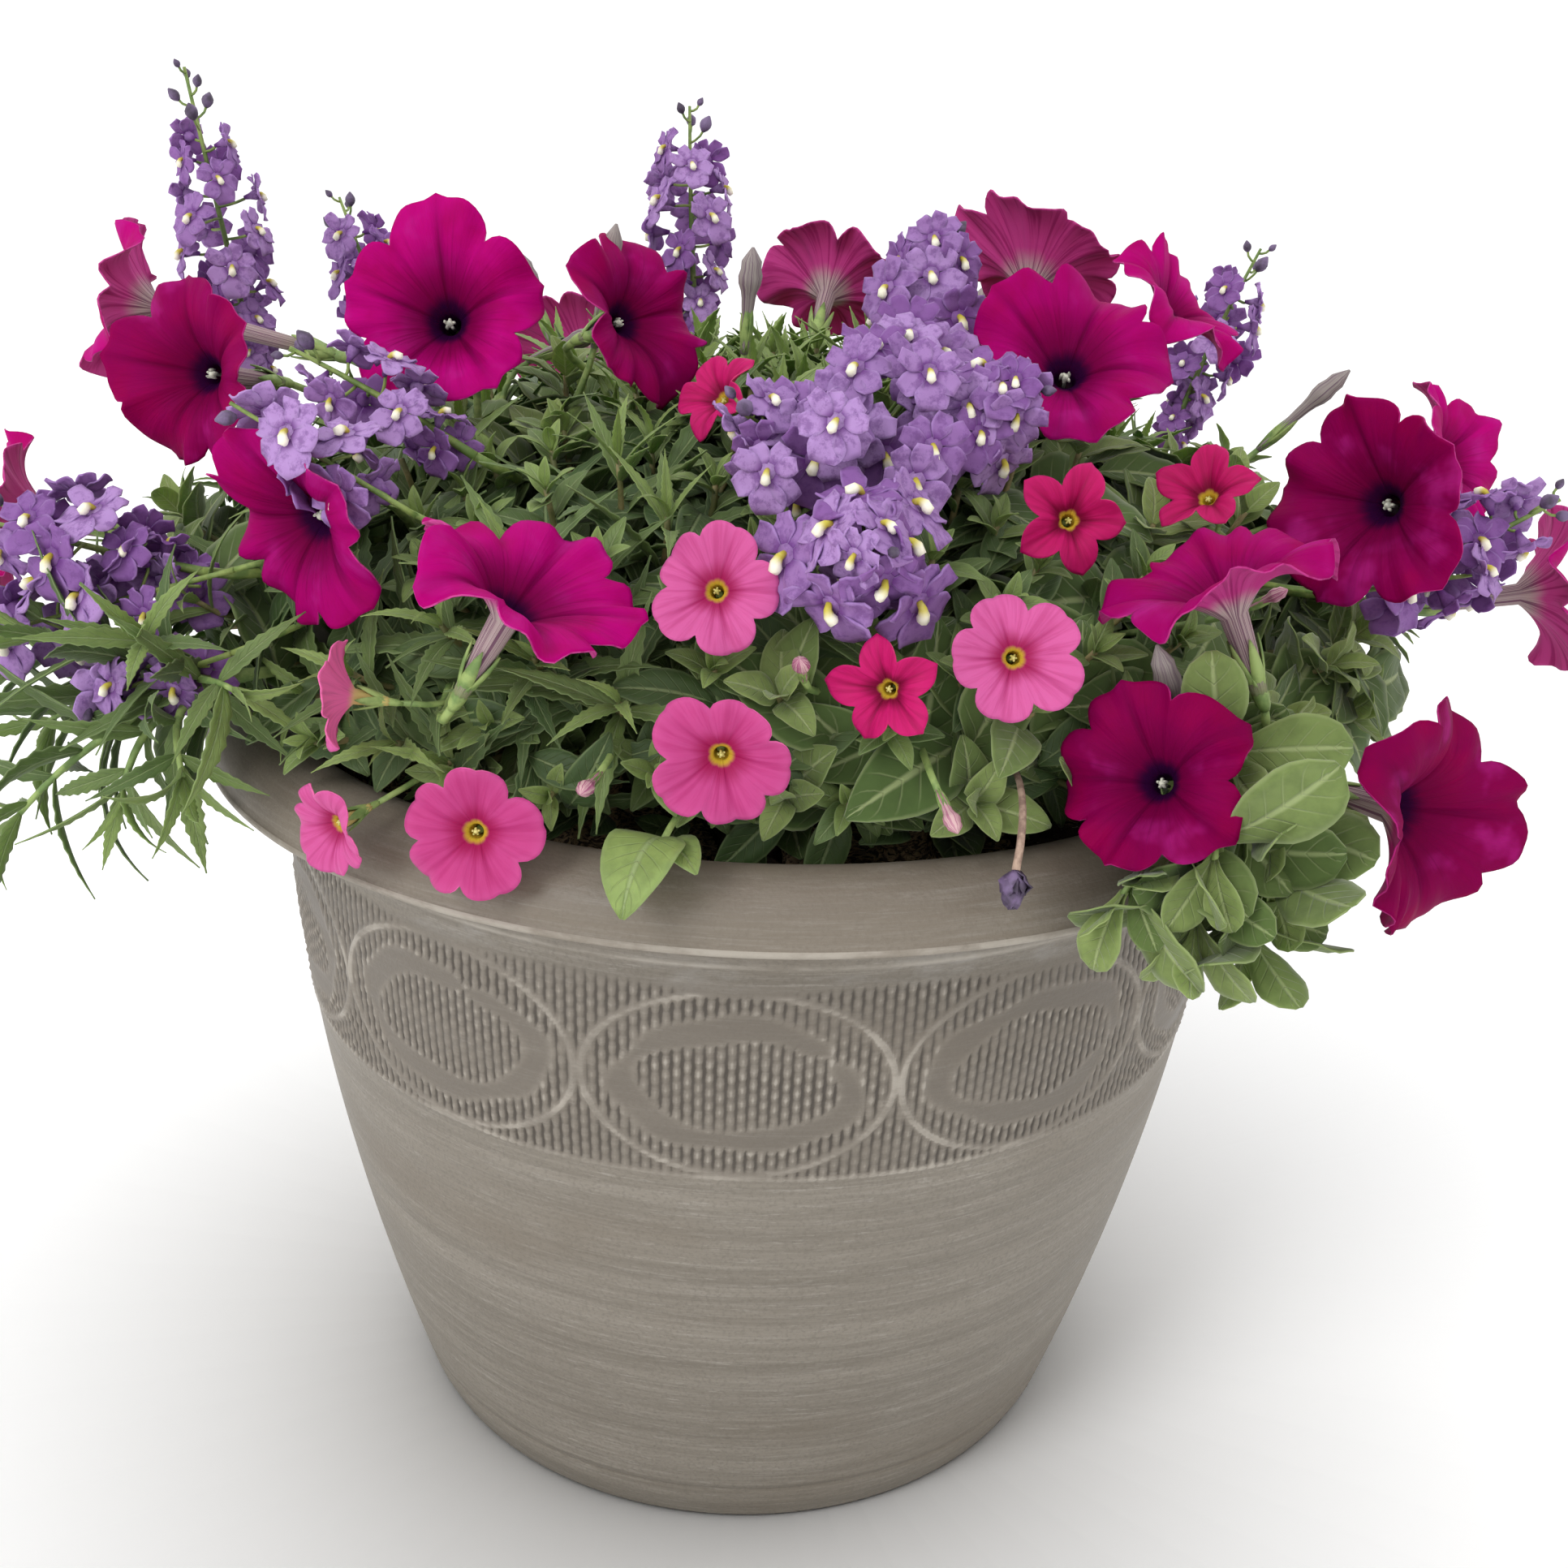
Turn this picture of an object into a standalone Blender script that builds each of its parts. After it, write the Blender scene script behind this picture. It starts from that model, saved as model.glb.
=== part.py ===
"""A round tapered planter with a mixed summer planting.

One moulded resin pot holds potting mix. Eight plants stand in pockets in the mix. Each plant has a root
ball with its crown, a share of the leafy mound above the rim, and its own blooms or flower spikes.
The whole planting lifts out of the pot along +Z.

Metres, +Z up, the front is -Y. The origin is the centre of the pot's underside.
An azimuth is measured from the front, and grows towards +X. A rise is measured up from the rim.
"""

import math

import bmesh
import bpy
from mathutils import Vector

# Pot
RIM_DIAMETER = 0.330
POT_HEIGHT = 0.236
BASE_DIAMETER = 0.217
NECK_DIAMETER = 0.288
NECK_HEIGHT = 0.202
RIM_BEAD_HEIGHT = 0.222
RIM_BAND = 0.015
RIM_BEAD = 0.002
LIP_WIDTH = 0.009
LIP_DROP = 0.007
WALL = 0.006
FLOOR_TOP = 0.009
BODY_CURVE = 1.75
FOOT_ROUND = 0.003
FOOT_WIDTH = 0.012
FOOT_RECESS = 0.003
BOSS_RADIUS = 0.042
DRAIN_COUNT = 4
DRAIN_DIAMETER = 0.014
DRAIN_REACH = 0.068

# Planting
SOIL_EDGE_HEIGHT = 0.207
SOIL_TOP = 0.213
ROOT_BALL_RADIUS = 0.034
ROOT_BALL_DEPTH = 0.085
ROOT_BALL_SHOULDER = 0.020
ROOT_BALL_TAPER = 0.75
CROWN_RADIUS = 0.008
RING_REACH = 0.095
MOUND_BOTTOM = 0.2375
MOUND_HALF_WIDTH = 0.195
MOUND_HALF_DEPTH = 0.150
MOUND_RISE = 0.090

# Clearances and fineness
GAP = 0.0004
FLOWER_GAP = 0.001
POT_STEPS = 56
SOIL_STEPS = 40
ROOT_STEPS = 12
FLOWER_STEPS = 12

# Colours
POT_COLOUR = (0.27, 0.24, 0.20)
SOIL_COLOUR = (0.035, 0.022, 0.014)
ROOT_COLOUR = (0.30, 0.22, 0.14)
LEAF_COLOUR = (0.07, 0.14, 0.04)
PETUNIA_COLOUR = (0.42, 0.0, 0.11)
PINK_COLOUR = (0.80, 0.10, 0.38)
ROSE_COLOUR = (0.65, 0.01, 0.11)
LILAC_COLOUR = (0.27, 0.13, 0.48)

# Each plant: its name, and where its root ball stands as (azimuth, share of the ring's reach).
PLANTS = (
    ("nemesia", 0, 0),
    ("calibrachoa_rose", 26, 1),
    ("petunia_right", 77, 1),
    ("angelonia_right", 129, 1),
    ("petunia_back", 180, 1),
    ("angelonia_left", -129, 1),
    ("petunia_left", -77, 1),
    ("calibrachoa_pink", -26, 1),
)

# Each bloom: azimuth and rise of its stalk's spot on the mound, azimuth and rise that it faces, width
# and length.
BLOOMS = {
    "petunia_left": (
        (-88, 48, -100, 25, 0.050, 0.068),
        (-74, 47, -45, 30, 0.050, 0.040),
        (-80, 64, -5, 25, 0.056, 0.030),
        (-41, 35, -25, 25, 0.052, 0.018),
        (-22, 22, 60, 50, 0.054, 0.036),
        (-86, 20, -65, 15, 0.050, 0.038),
    ),
    "petunia_back": (
        (-52, 76, 10, 40, 0.046, 0.026),
        (168, 74, 170, 30, 0.046, 0.034),
        (104, 69, 160, 45, 0.054, 0.044),
        (68, 64, -5, 45, 0.056, 0.026),
        (96, 62, 70, 50, 0.044, 0.042),
        (-155, 40, -160, 30, 0.056, 0.028),
        (160, 30, 155, 20, 0.058, 0.028),
    ),
    "petunia_right": (
        (68, 35, -10, 20, 0.056, 0.026),
        (92, 34, 60, 30, 0.046, 0.046),
        (36, 18, -105, 65, 0.054, 0.034),
        (30, 13, -20, 10, 0.046, 0.022),
        (43, 5, 60, 0, 0.060, 0.036),
        (86, 17, 85, 12, 0.050, 0.046),
    ),
    "calibrachoa_pink": (
        (-3, 36, -5, 25, 0.030, 0.014),
        (20, 28, 0, 20, 0.030, 0.014),
        (-18, 2, -5, 15, 0.032, 0.014),
        (-2, 17, 5, 0, 0.032, 0.014),
        (-26, 17, -80, 10, 0.028, 0.014),
        (-27, 2, -40, -10, 0.026, 0.014),
    ),
    "calibrachoa_rose": (
        (11, 25, -20, 10, 0.026, 0.014),
        (33, 46, 0, 20, 0.028, 0.014),
        (-4, 66, -50, 35, 0.026, 0.014),
        (55, 43, -40, 45, 0.028, 0.014),
    ),
}

# Each flower spike: as a bloom, and then the share of its length at which it is widest.
SPIKES = {
    "nemesia": (
        (62, 77, 150, 72, 0.032, 0.052, 0.40),
        (12, 54, -60, 30, 0.030, 0.050, 0.40),
        (9, 42, 5, 20, 0.034, 0.046, 0.50),
        (26, 60, 60, 40, 0.030, 0.040, 0.45),
    ),
    "angelonia_left": (
        (-113, 27, -90, 80, 0.026, 0.124, 0.60),
        (-39, 53, -95, 28, 0.028, 0.054, 0.40),
        (-54, 27, -95, 10, 0.032, 0.062, 0.50),
        (-128, 40, -135, 55, 0.028, 0.080, 0.55),
    ),
    "angelonia_right": (
        (72, 27, 80, 32, 0.030, 0.056, 0.45),
        (-165, 58, -160, 80, 0.028, 0.082, 0.60),
        (125, 36, 130, 60, 0.028, 0.078, 0.55),
    ),
}

# Each shoot that hangs over the rim: azimuth, reach and height of its root and of its tip, and thickness.
SHOOTS = {
    "petunia_right": (36, 0.184, 0.236, 41, 0.190, 0.200, 0.024),
    "angelonia_left": (-56, 0.200, 0.244, -62, 0.222, 0.212, 0.018),
}


def clear_scene():
    """Start from a file with no objects."""
    for item in list(bpy.data.objects):
        bpy.data.objects.remove(item, do_unlink=True)


def new_collection(name):
    """A collection under the scene's own."""
    collection = bpy.data.collections.new(name)
    bpy.context.scene.collection.children.link(collection)
    return collection


def make_material(name, colour, roughness):
    """A plain matt or satin surface."""
    material = bpy.data.materials.new(name)
    material.use_nodes = True
    shader = material.node_tree.nodes["Principled BSDF"]
    shader.inputs["Base Color"].default_value = (*colour, 1.0)
    shader.inputs["Roughness"].default_value = roughness
    shader.inputs["Metallic"].default_value = 0.0
    material.diffuse_color = (*colour, 1.0)
    return material


def add_object(name, data, collection, material=None):
    """Link an object that holds this mesh or curve."""
    item = bpy.data.objects.new(name, data)
    collection.objects.link(item)
    if material:
        item.data.materials.append(material)
    return item


def add_cutter(item):
    """Mark an object as a guide that isn't part of the model."""
    item.hide_render = True
    item.display_type = "WIRE"
    return item


def turned(name, profile, steps, collection, material=None):
    """A solid of revolution about Z. The profile's points are (radius, height), outer side top to bottom."""
    mesh = bpy.data.meshes.new(name)
    points = [(radius, 0.0, height) for radius, height in profile]
    edges = [(i, i + 1) for i in range(len(points) - 1)]
    mesh.from_pydata(points, edges, [])
    item = add_object(name, mesh, collection, material)
    screw = item.modifiers.new("Turn", "SCREW")
    screw.axis = "Z"
    screw.steps = steps
    screw.render_steps = steps
    screw.use_merge_vertices = True
    screw.merge_threshold = 0.00001
    screw.use_smooth_shade = True
    return item


def subtract(item, cutter):
    """Cut one closed mesh out of another."""
    cut = item.modifiers.new("Cut " + cutter.name, "BOOLEAN")
    cut.operation = "DIFFERENCE"
    cut.object = cutter


def direction(azimuth, rise):
    """The unit vector that points this way."""
    turn = math.radians(azimuth)
    up = math.radians(rise)
    return Vector((math.sin(turn) * math.cos(up), -math.cos(turn) * math.cos(up), math.sin(up)))


def ring_point(azimuth, reach, height):
    """A point at this distance from the pot's axis."""
    return direction(azimuth, 0) * reach + Vector((0, 0, height))


def body_radius(height):
    """The outer radius of the pot's body: it swells quickly above the base and slowly below the neck."""
    share = min(height / NECK_HEIGHT, 1.0)
    base = BASE_DIAMETER / 2
    return base + (NECK_DIAMETER / 2 - base) * (1 - (1 - share) ** BODY_CURVE)


def arc(centre, half_width, half_height, start, end, count):
    """Points of an elliptical arc in the profile plane, angles in degrees."""
    points = []
    for i in range(count + 1):
        angle = math.radians(start + (end - start) * i / count)
        points.append((centre[0] + half_width * math.cos(angle), centre[1] + half_height * math.sin(angle)))
    return points


def pot_profile():
    """Inside of the floor, up the inner wall, over the rolled rim, down the outer wall and under the base."""
    rim = RIM_DIAMETER / 2
    crest = rim - RIM_BAND
    wall_levels = [FLOOR_TOP + (NECK_HEIGHT - FLOOR_TOP) * i / 5 for i in range(6)]
    inner = [(0, FLOOR_TOP)] + [(body_radius(level) - WALL, level) for level in wall_levels]
    lip_arc = arc((crest, POT_HEIGHT - LIP_DROP), LIP_WIDTH, LIP_DROP, 180, 90, 4)
    roll = arc((crest, RIM_BEAD_HEIGHT), RIM_BAND, POT_HEIGHT - RIM_BEAD_HEIGHT, 90, 0, 5)[1:]
    neck = NECK_DIAMETER / 2
    cove = arc((rim, NECK_HEIGHT), neck - rim, RIM_BEAD_HEIGHT - RIM_BEAD - NECK_HEIGHT, 90, 0, 5)
    outer_levels = [NECK_HEIGHT + (FOOT_ROUND - NECK_HEIGHT) * i / 9 for i in range(1, 10)]
    outer = [(body_radius(level), level) for level in outer_levels]
    foot = BASE_DIAMETER / 2 - FOOT_ROUND
    recess = foot - FOOT_WIDTH
    under = [
        (foot, 0),
        (recess, 0),
        (recess - FOOT_RECESS, FOOT_RECESS),
        (BOSS_RADIUS + FOOT_RECESS, FOOT_RECESS),
        (BOSS_RADIUS, 0),
        (0, 0),
    ]
    return inner + lip_arc + roll + cove + outer + under


def make_pot(parts, cutters):
    """The moulded pot, with drainage holes through the recess under its floor."""
    material = make_material("pot_resin", POT_COLOUR, 0.75)
    pot = turned("pot_shell", pot_profile(), POT_STEPS, parts, material)
    radius = DRAIN_DIAMETER / 2
    for i in range(DRAIN_COUNT):
        name = f"drain_cutter_{i + 1}"
        profile = [(0, 2 * FLOOR_TOP), (radius, 2 * FLOOR_TOP), (radius, -FLOOR_TOP), (0, -FLOOR_TOP)]
        hole = add_cutter(turned(name, profile, ROOT_STEPS, cutters))
        hole.location = ring_point(45 + 90 * i, DRAIN_REACH, 0)
        subtract(pot, hole)
    return pot


def crown_place(azimuth, share):
    """Where a plant's root ball stands, on the pot's floor plane."""
    return ring_point(azimuth, RING_REACH * share, 0)


def make_potting_mix(parts, cutters):
    """The mix fills the pot to just under the rim, with a pocket for each root ball."""
    levels = [SOIL_EDGE_HEIGHT + (FLOOR_TOP + GAP - SOIL_EDGE_HEIGHT) * i / 5 for i in range(6)]
    side = [(body_radius(level) - WALL - 2 * GAP, level) for level in levels]
    top = [(0, SOIL_TOP), (body_radius(SOIL_TOP) - WALL - SOIL_TOP + SOIL_EDGE_HEIGHT, SOIL_TOP)]
    profile = top + side + [(0, FLOOR_TOP + GAP)]
    mix = turned("potting_mix", profile, SOIL_STEPS, parts, make_material("potting_mix", SOIL_COLOUR, 0.95))
    radius = ROOT_BALL_RADIUS + GAP
    floor = SOIL_TOP - ROOT_BALL_DEPTH - GAP
    pocket_profile = [(0, POT_HEIGHT), (radius, POT_HEIGHT), (radius, SOIL_TOP - ROOT_BALL_SHOULDER)]
    pocket_profile += [(ROOT_BALL_TAPER * radius, floor), (0, floor)]
    for name, azimuth, share in PLANTS:
        pocket = add_cutter(turned(f"{name}_pocket_cutter", pocket_profile, ROOT_STEPS, cutters))
        pocket.location = crown_place(azimuth, share)
        subtract(mix, pocket)
    return mix


def make_root_balls(parts):
    """A tapered plug of roots for each plant, with the crown that its stems rise from."""
    material = make_material("root_ball", ROOT_COLOUR, 0.9)
    floor = SOIL_TOP - ROOT_BALL_DEPTH
    crown_top = MOUND_BOTTOM - GAP
    profile = [(0, crown_top), (CROWN_RADIUS, crown_top), (CROWN_RADIUS, SOIL_TOP)]
    profile += [(ROOT_BALL_RADIUS, SOIL_TOP), (ROOT_BALL_RADIUS, SOIL_TOP - ROOT_BALL_SHOULDER)]
    profile += [(ROOT_BALL_TAPER * ROOT_BALL_RADIUS, floor), (0, floor)]
    for name, azimuth, share in PLANTS:
        ball = turned(f"{name}_root_ball", profile, ROOT_STEPS, parts, material)
        ball.location = crown_place(azimuth, share)


def mound_point(azimuth, rise):
    """A point on the mound of leaves, and the way that the mound faces there."""
    turn = math.radians(azimuth)
    up = math.radians(rise)
    x = MOUND_HALF_WIDTH * math.cos(up) * math.sin(turn)
    y = -MOUND_HALF_DEPTH * math.cos(up) * math.cos(turn)
    height = MOUND_RISE * math.sin(up)
    normal = Vector((x / MOUND_HALF_WIDTH**2, y / MOUND_HALF_DEPTH**2, height / MOUND_RISE**2))
    return Vector((x, y, MOUND_BOTTOM + height)), normal.normalized()


def mound_distance(start, way):
    """How far it is along way from a point inside the mound to its skin."""
    size = Vector((MOUND_HALF_WIDTH, MOUND_HALF_DEPTH, MOUND_RISE))
    origin = start - Vector((0, 0, MOUND_BOTTOM))
    p = Vector([origin[i] / size[i] for i in range(3)])
    d = Vector([way[i] / size[i] for i in range(3)])
    half_b = p.dot(d)
    return (-half_b + math.sqrt(half_b**2 - d.dot(d) * (p.dot(p) - 1))) / d.dot(d)


def make_foliage(parts):
    """Each plant's leaves fill the share of the mound that lies nearest to its crown."""
    material = make_material("leaves", LEAF_COLOUR, 0.6)
    crowns = [crown_place(azimuth, share) for _, azimuth, share in PLANTS]
    for index, (name, _, _) in enumerate(PLANTS):
        site = crowns[index]
        heart = site + Vector((0, 0, MOUND_BOTTOM + 0.4 * MOUND_RISE))
        walls = [(other - site) for i, other in enumerate(crowns) if i != index]
        mesh = bpy.data.meshes.new(name)
        cage = bmesh.new()
        bmesh.ops.create_icosphere(cage, subdivisions=3, radius=1.0)
        for vertex in cage.verts:
            way = vertex.co.normalized()
            reach = mound_distance(heart, way)
            for wall in walls:
                towards = way.dot(wall.normalized())
                if towards > 0:
                    reach = min(reach, (wall.length / 2 - GAP) / towards)
            if way.z < 0:
                reach = min(reach, (heart.z - MOUND_BOTTOM) / -way.z)
            vertex.co = heart + way * reach
        cage.to_mesh(mesh)
        cage.free()
        add_object(f"{name}_foliage", mesh, parts, material)


def stand_on_mound(item, spot_and_normal, faces, length, rings):
    """Point a flower the way it faces, its stalk at its spot, raised until it clears the leaves.

    The flower's face is at its own origin. Each ring is a radius and how far behind the face it is.
    """
    spot, normal = spot_and_normal
    lean = max(-1.0, min(1.0, normal.dot(faces)))
    tilt = math.sqrt(1 - lean * lean)
    lift = max(radius * tilt - (length - behind) * lean for radius, behind in rings)
    item.location = spot + normal * (lift + FLOWER_GAP) + faces * length
    item.rotation_mode = "QUATERNION"
    item.rotation_quaternion = faces.to_track_quat("Z", "Y")


def make_flower(name, rings, spot_and_normal, faces, parts, material):
    """One closed turned solid from its face down to the end of its stalk."""
    length = rings[-1][1]
    profile = [(0, 0)] + [(radius, -behind) for radius, behind in rings] + [(0, -length)]
    flower = turned(name, profile, FLOWER_STEPS, parts, material)
    stand_on_mound(flower, spot_and_normal, faces, length, rings)


def make_blooms(parts):
    """Funnel flowers. Each is a closed cone from its round face down to the end of its tube."""
    colours = {"petunia": PETUNIA_COLOUR, "calibrachoa_pink": PINK_COLOUR, "calibrachoa_rose": ROSE_COLOUR}
    materials = {key: make_material(key + "_petal", colour, 0.55) for key, colour in colours.items()}
    for plant, blooms in BLOOMS.items():
        material = next(materials[key] for key in materials if plant.startswith(key))
        for number, (azimuth, rise, face_azimuth, face_rise, width, length) in enumerate(blooms, 1):
            rings = ((width / 2, 0), (width / 2, 0.06 * width), (0.1 * width, length))
            faces = direction(face_azimuth, face_rise)
            name = f"{plant}_bloom_{number}"
            make_flower(name, rings, mound_point(azimuth, rise), faces, parts, material)


def make_spikes(parts):
    """Flower spikes. Each is a spindle, thin at its stalk and blunt at its tip."""
    material = make_material("lilac_petal", LILAC_COLOUR, 0.55)
    for plant, spikes in SPIKES.items():
        for number, (azimuth, rise, face_azimuth, face_rise, width, length, widest) in enumerate(spikes, 1):
            rings = ((0.2 * width, 0), (width / 2, (1 - widest) * length), (0.06 * width, length))
            faces = direction(face_azimuth, face_rise)
            name = f"{plant}_spike_{number}"
            make_flower(name, rings, mound_point(azimuth, rise), faces, parts, material)


def make_shoots(parts):
    """Leafy shoots outside the rim, each a tapered tube on a falling curve."""
    material = make_material("shoot_leaves", LEAF_COLOUR, 0.6)
    count = 6
    for plant, (azimuth, reach, height, end_azimuth, end_reach, end_height, thickness) in SHOOTS.items():
        curve = bpy.data.curves.new(plant, "CURVE")
        curve.dimensions = "3D"
        curve.bevel_depth = thickness / 2
        curve.bevel_resolution = 2
        curve.use_fill_caps = True
        spline = curve.splines.new("POLY")
        spline.points.add(count - 1)
        for i, point in enumerate(spline.points):
            share = i / (count - 1)
            place = ring_point(
                azimuth + (end_azimuth - azimuth) * share,
                reach + (end_reach - reach) * math.sin(share * math.pi / 2),
                height + (end_height - height) * share**1.5,
            )
            point.co = (*place, 1.0)
            point.radius = 1.0 - 0.5 * share
        add_object(f"{plant}_shoot", curve, parts, material)


def main():
    clear_scene()
    parts = new_collection("round_planter")
    cutters = new_collection("cutters")
    make_pot(parts, cutters)
    make_potting_mix(parts, cutters)
    make_root_balls(parts)
    make_foliage(parts)
    make_blooms(parts)
    make_spikes(parts)
    make_shoots(parts)


main()
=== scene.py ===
"""Looks for a round tapered planter with a mixed summer planting.

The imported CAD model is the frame. The pot is rebuilt finely with its moulded band, and the planting is
grown on the CAD solids: soil, root plugs, leafy stems, funnel flowers and two-lipped flower spikes.
Metres, +Z up, the front is -Y. An azimuth is measured from the front and grows towards +X.
"""

import math

import bpy
import numpy as np
from mathutils import Matrix, Vector
from mathutils.geometry import tessellate_polygon


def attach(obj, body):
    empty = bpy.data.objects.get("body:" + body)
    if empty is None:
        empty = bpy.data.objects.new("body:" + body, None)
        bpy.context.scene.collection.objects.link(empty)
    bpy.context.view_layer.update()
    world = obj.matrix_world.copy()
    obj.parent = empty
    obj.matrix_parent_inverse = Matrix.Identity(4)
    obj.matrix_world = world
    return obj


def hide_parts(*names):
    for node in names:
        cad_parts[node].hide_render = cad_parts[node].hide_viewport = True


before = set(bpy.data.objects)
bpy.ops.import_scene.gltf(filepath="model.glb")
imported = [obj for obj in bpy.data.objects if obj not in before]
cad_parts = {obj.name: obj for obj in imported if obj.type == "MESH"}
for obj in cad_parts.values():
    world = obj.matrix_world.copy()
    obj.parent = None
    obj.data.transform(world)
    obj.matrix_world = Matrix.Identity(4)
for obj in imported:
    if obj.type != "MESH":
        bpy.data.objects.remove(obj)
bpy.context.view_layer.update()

# Pot, as in the CAD model
RIM_RADIUS = 0.165
POT_HEIGHT = 0.236
BASE_RADIUS = 0.1085
NECK_RADIUS = 0.144
NECK_HEIGHT = 0.202
RIM_BEAD_HEIGHT = 0.222
RIM_BAND = 0.015
RIM_BEAD = 0.002
LIP_WIDTH = 0.009
LIP_DROP = 0.007
WALL = 0.006
FLOOR_TOP = 0.009
BODY_CURVE = 1.75
FOOT_ROUND = 0.003
FOOT_WIDTH = 0.012
FOOT_RECESS = 0.003
FOOT_RADIUS = BASE_RADIUS - FOOT_ROUND
RECESS_RADIUS = FOOT_RADIUS - FOOT_WIDTH
BOSS_RADIUS = 0.042
DRAIN_RADIUS = 0.007
DRAIN_REACH = 0.068

# The moulded band under the neck
BAND_BOTTOM = 0.1428
BAND_TOP = 0.2027
OVAL_COUNT = 11
OVAL_HEIGHT = 0.1722
OVAL_HALF_ANGLE = math.radians(16.6)
OVAL_HALF_HEIGHT = 0.0283
RING_HALF_ANGLE = math.radians(13.4)
RING_HALF_HEIGHT = 0.0210
WELL_HALF_ANGLE = math.radians(10.2)
WELL_HALF_HEIGHT = 0.0134
WEAVE_COLUMNS = 328
WEAVE_DASH = 0.0042
WEAVE_DEPTH = 0.0011
BEAD_HEIGHT = 0.0010
RING_HEIGHT = 0.0006
BAND_ROWS = 58

# Points round a plain level of the pot, and how many times as many there are where the band is moulded
COARSE = WEAVE_COLUMNS // 2
FINE = 8

# Thin raised lines: round the cove, and under the rim
COVE_LINE_HEIGHT = 0.2072
COVE_LINE = 0.0007
RIM_LINE_HEIGHT = RIM_BEAD_HEIGHT - 0.0008
RIM_LINE = 0.0011

# The mound of leaves, as in the CAD model
MOUND_BOTTOM = 0.2375
MOUND_SIZE = np.array([0.195, 0.150, 0.090])
SOIL_TOP = 0.213
RING_REACH = 0.095
PLANTS = {
    "nemesia": (0, 0.0),
    "calibrachoa_rose": (26, RING_REACH),
    "petunia_right": (77, RING_REACH),
    "angelonia_right": (129, RING_REACH),
    "petunia_back": (180, RING_REACH),
    "angelonia_left": (-129, RING_REACH),
    "petunia_left": (-77, RING_REACH),
    "calibrachoa_pink": (-26, RING_REACH),
}

LEAF_THICKNESS = 0.0004
GOLDEN = math.pi * (3 - math.sqrt(5))
# About one turn, for random angles
ROUND = 6.28
UP = np.array([0.0, 0.0, 1.0])


# ---------------------------------------------------------------- small geometry helpers


def unit(vector):
    """The vector at length one."""
    vector = np.asarray(vector, float)
    return vector / max(np.linalg.norm(vector), 1e-9)


def direction(azimuth, rise):
    """The unit vector that points this way, angles in degrees."""
    turn, up = math.radians(azimuth), math.radians(rise)
    return np.array([math.sin(turn) * math.cos(up), -math.cos(turn) * math.cos(up), math.sin(up)])


def ring_point(azimuth, reach, height):
    """A point at an azimuth in degrees, a reach from the pot's axis and a height."""
    return direction(azimuth, 0) * reach + UP * height


def mound_point(azimuth, rise, share=1.0):
    """A point on the mound of leaves, or a share of the way out to it."""
    return UP * MOUND_BOTTOM + direction(azimuth, rise) * MOUND_SIZE * share


def mound_level(points):
    """One on the mound's skin, less inside it."""
    return np.linalg.norm((np.asarray(points) - UP * MOUND_BOTTOM) / MOUND_SIZE, axis=-1)


def mound_normal(point):
    """The way out of the mound's skin at a point."""
    return unit((np.asarray(point) - UP * MOUND_BOTTOM) / MOUND_SIZE**2)


def axes_for(along, facing):
    """Columns are the local X, Y and Z: Y lies along, and Z faces as nearly as it can."""
    y = unit(along)
    z = np.asarray(facing, float) - y * np.dot(facing, y)
    if np.linalg.norm(z) < 1e-4:
        z = np.cross(y, (1.0, 0.0, 0.0)) + np.cross(y, (0.0, 1.0, 0.0))
    z = unit(z)
    return np.column_stack([np.cross(y, z), y, z])


def axes_facing(facing, roll):
    """Columns are the local X, Y and Z: Z faces, and Y is up before the roll."""
    z = unit(facing)
    x = np.cross(UP, z)
    x = unit(x) if np.linalg.norm(x) > 1e-3 else np.array([1.0, 0.0, 0.0])
    y = np.cross(z, x)
    c, s = math.cos(roll), math.sin(roll)
    return np.column_stack([x * c + y * s, y * c - x * s, z])


def turns(count):
    """Angles spread evenly round a circle."""
    return np.arange(count) * 2 * math.pi / count


def square_to(axis, hint=(0.3, 0.2, 1.0)):
    """Two unit vectors square to an axis and to each other."""
    side = unit(np.cross(axis, hint))
    return side, np.cross(axis, side)


def swing(side, other, turn):
    """The way between two square vectors, at an angle from the first."""
    return side * math.cos(turn) + other * math.sin(turn)


def stacked(*parts):
    """Grids of points, forms or rays from their three parts."""
    return np.stack(np.broadcast_arrays(*parts), axis=-1)


def bezier(a, b, c, d, count):
    """Points along a cubic curve."""
    t = np.linspace(0, 1, count)[:, None]
    return (1 - t) ** 3 * a + 3 * (1 - t) ** 2 * t * b + 3 * (1 - t) * t**2 * c + t**3 * d


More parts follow.
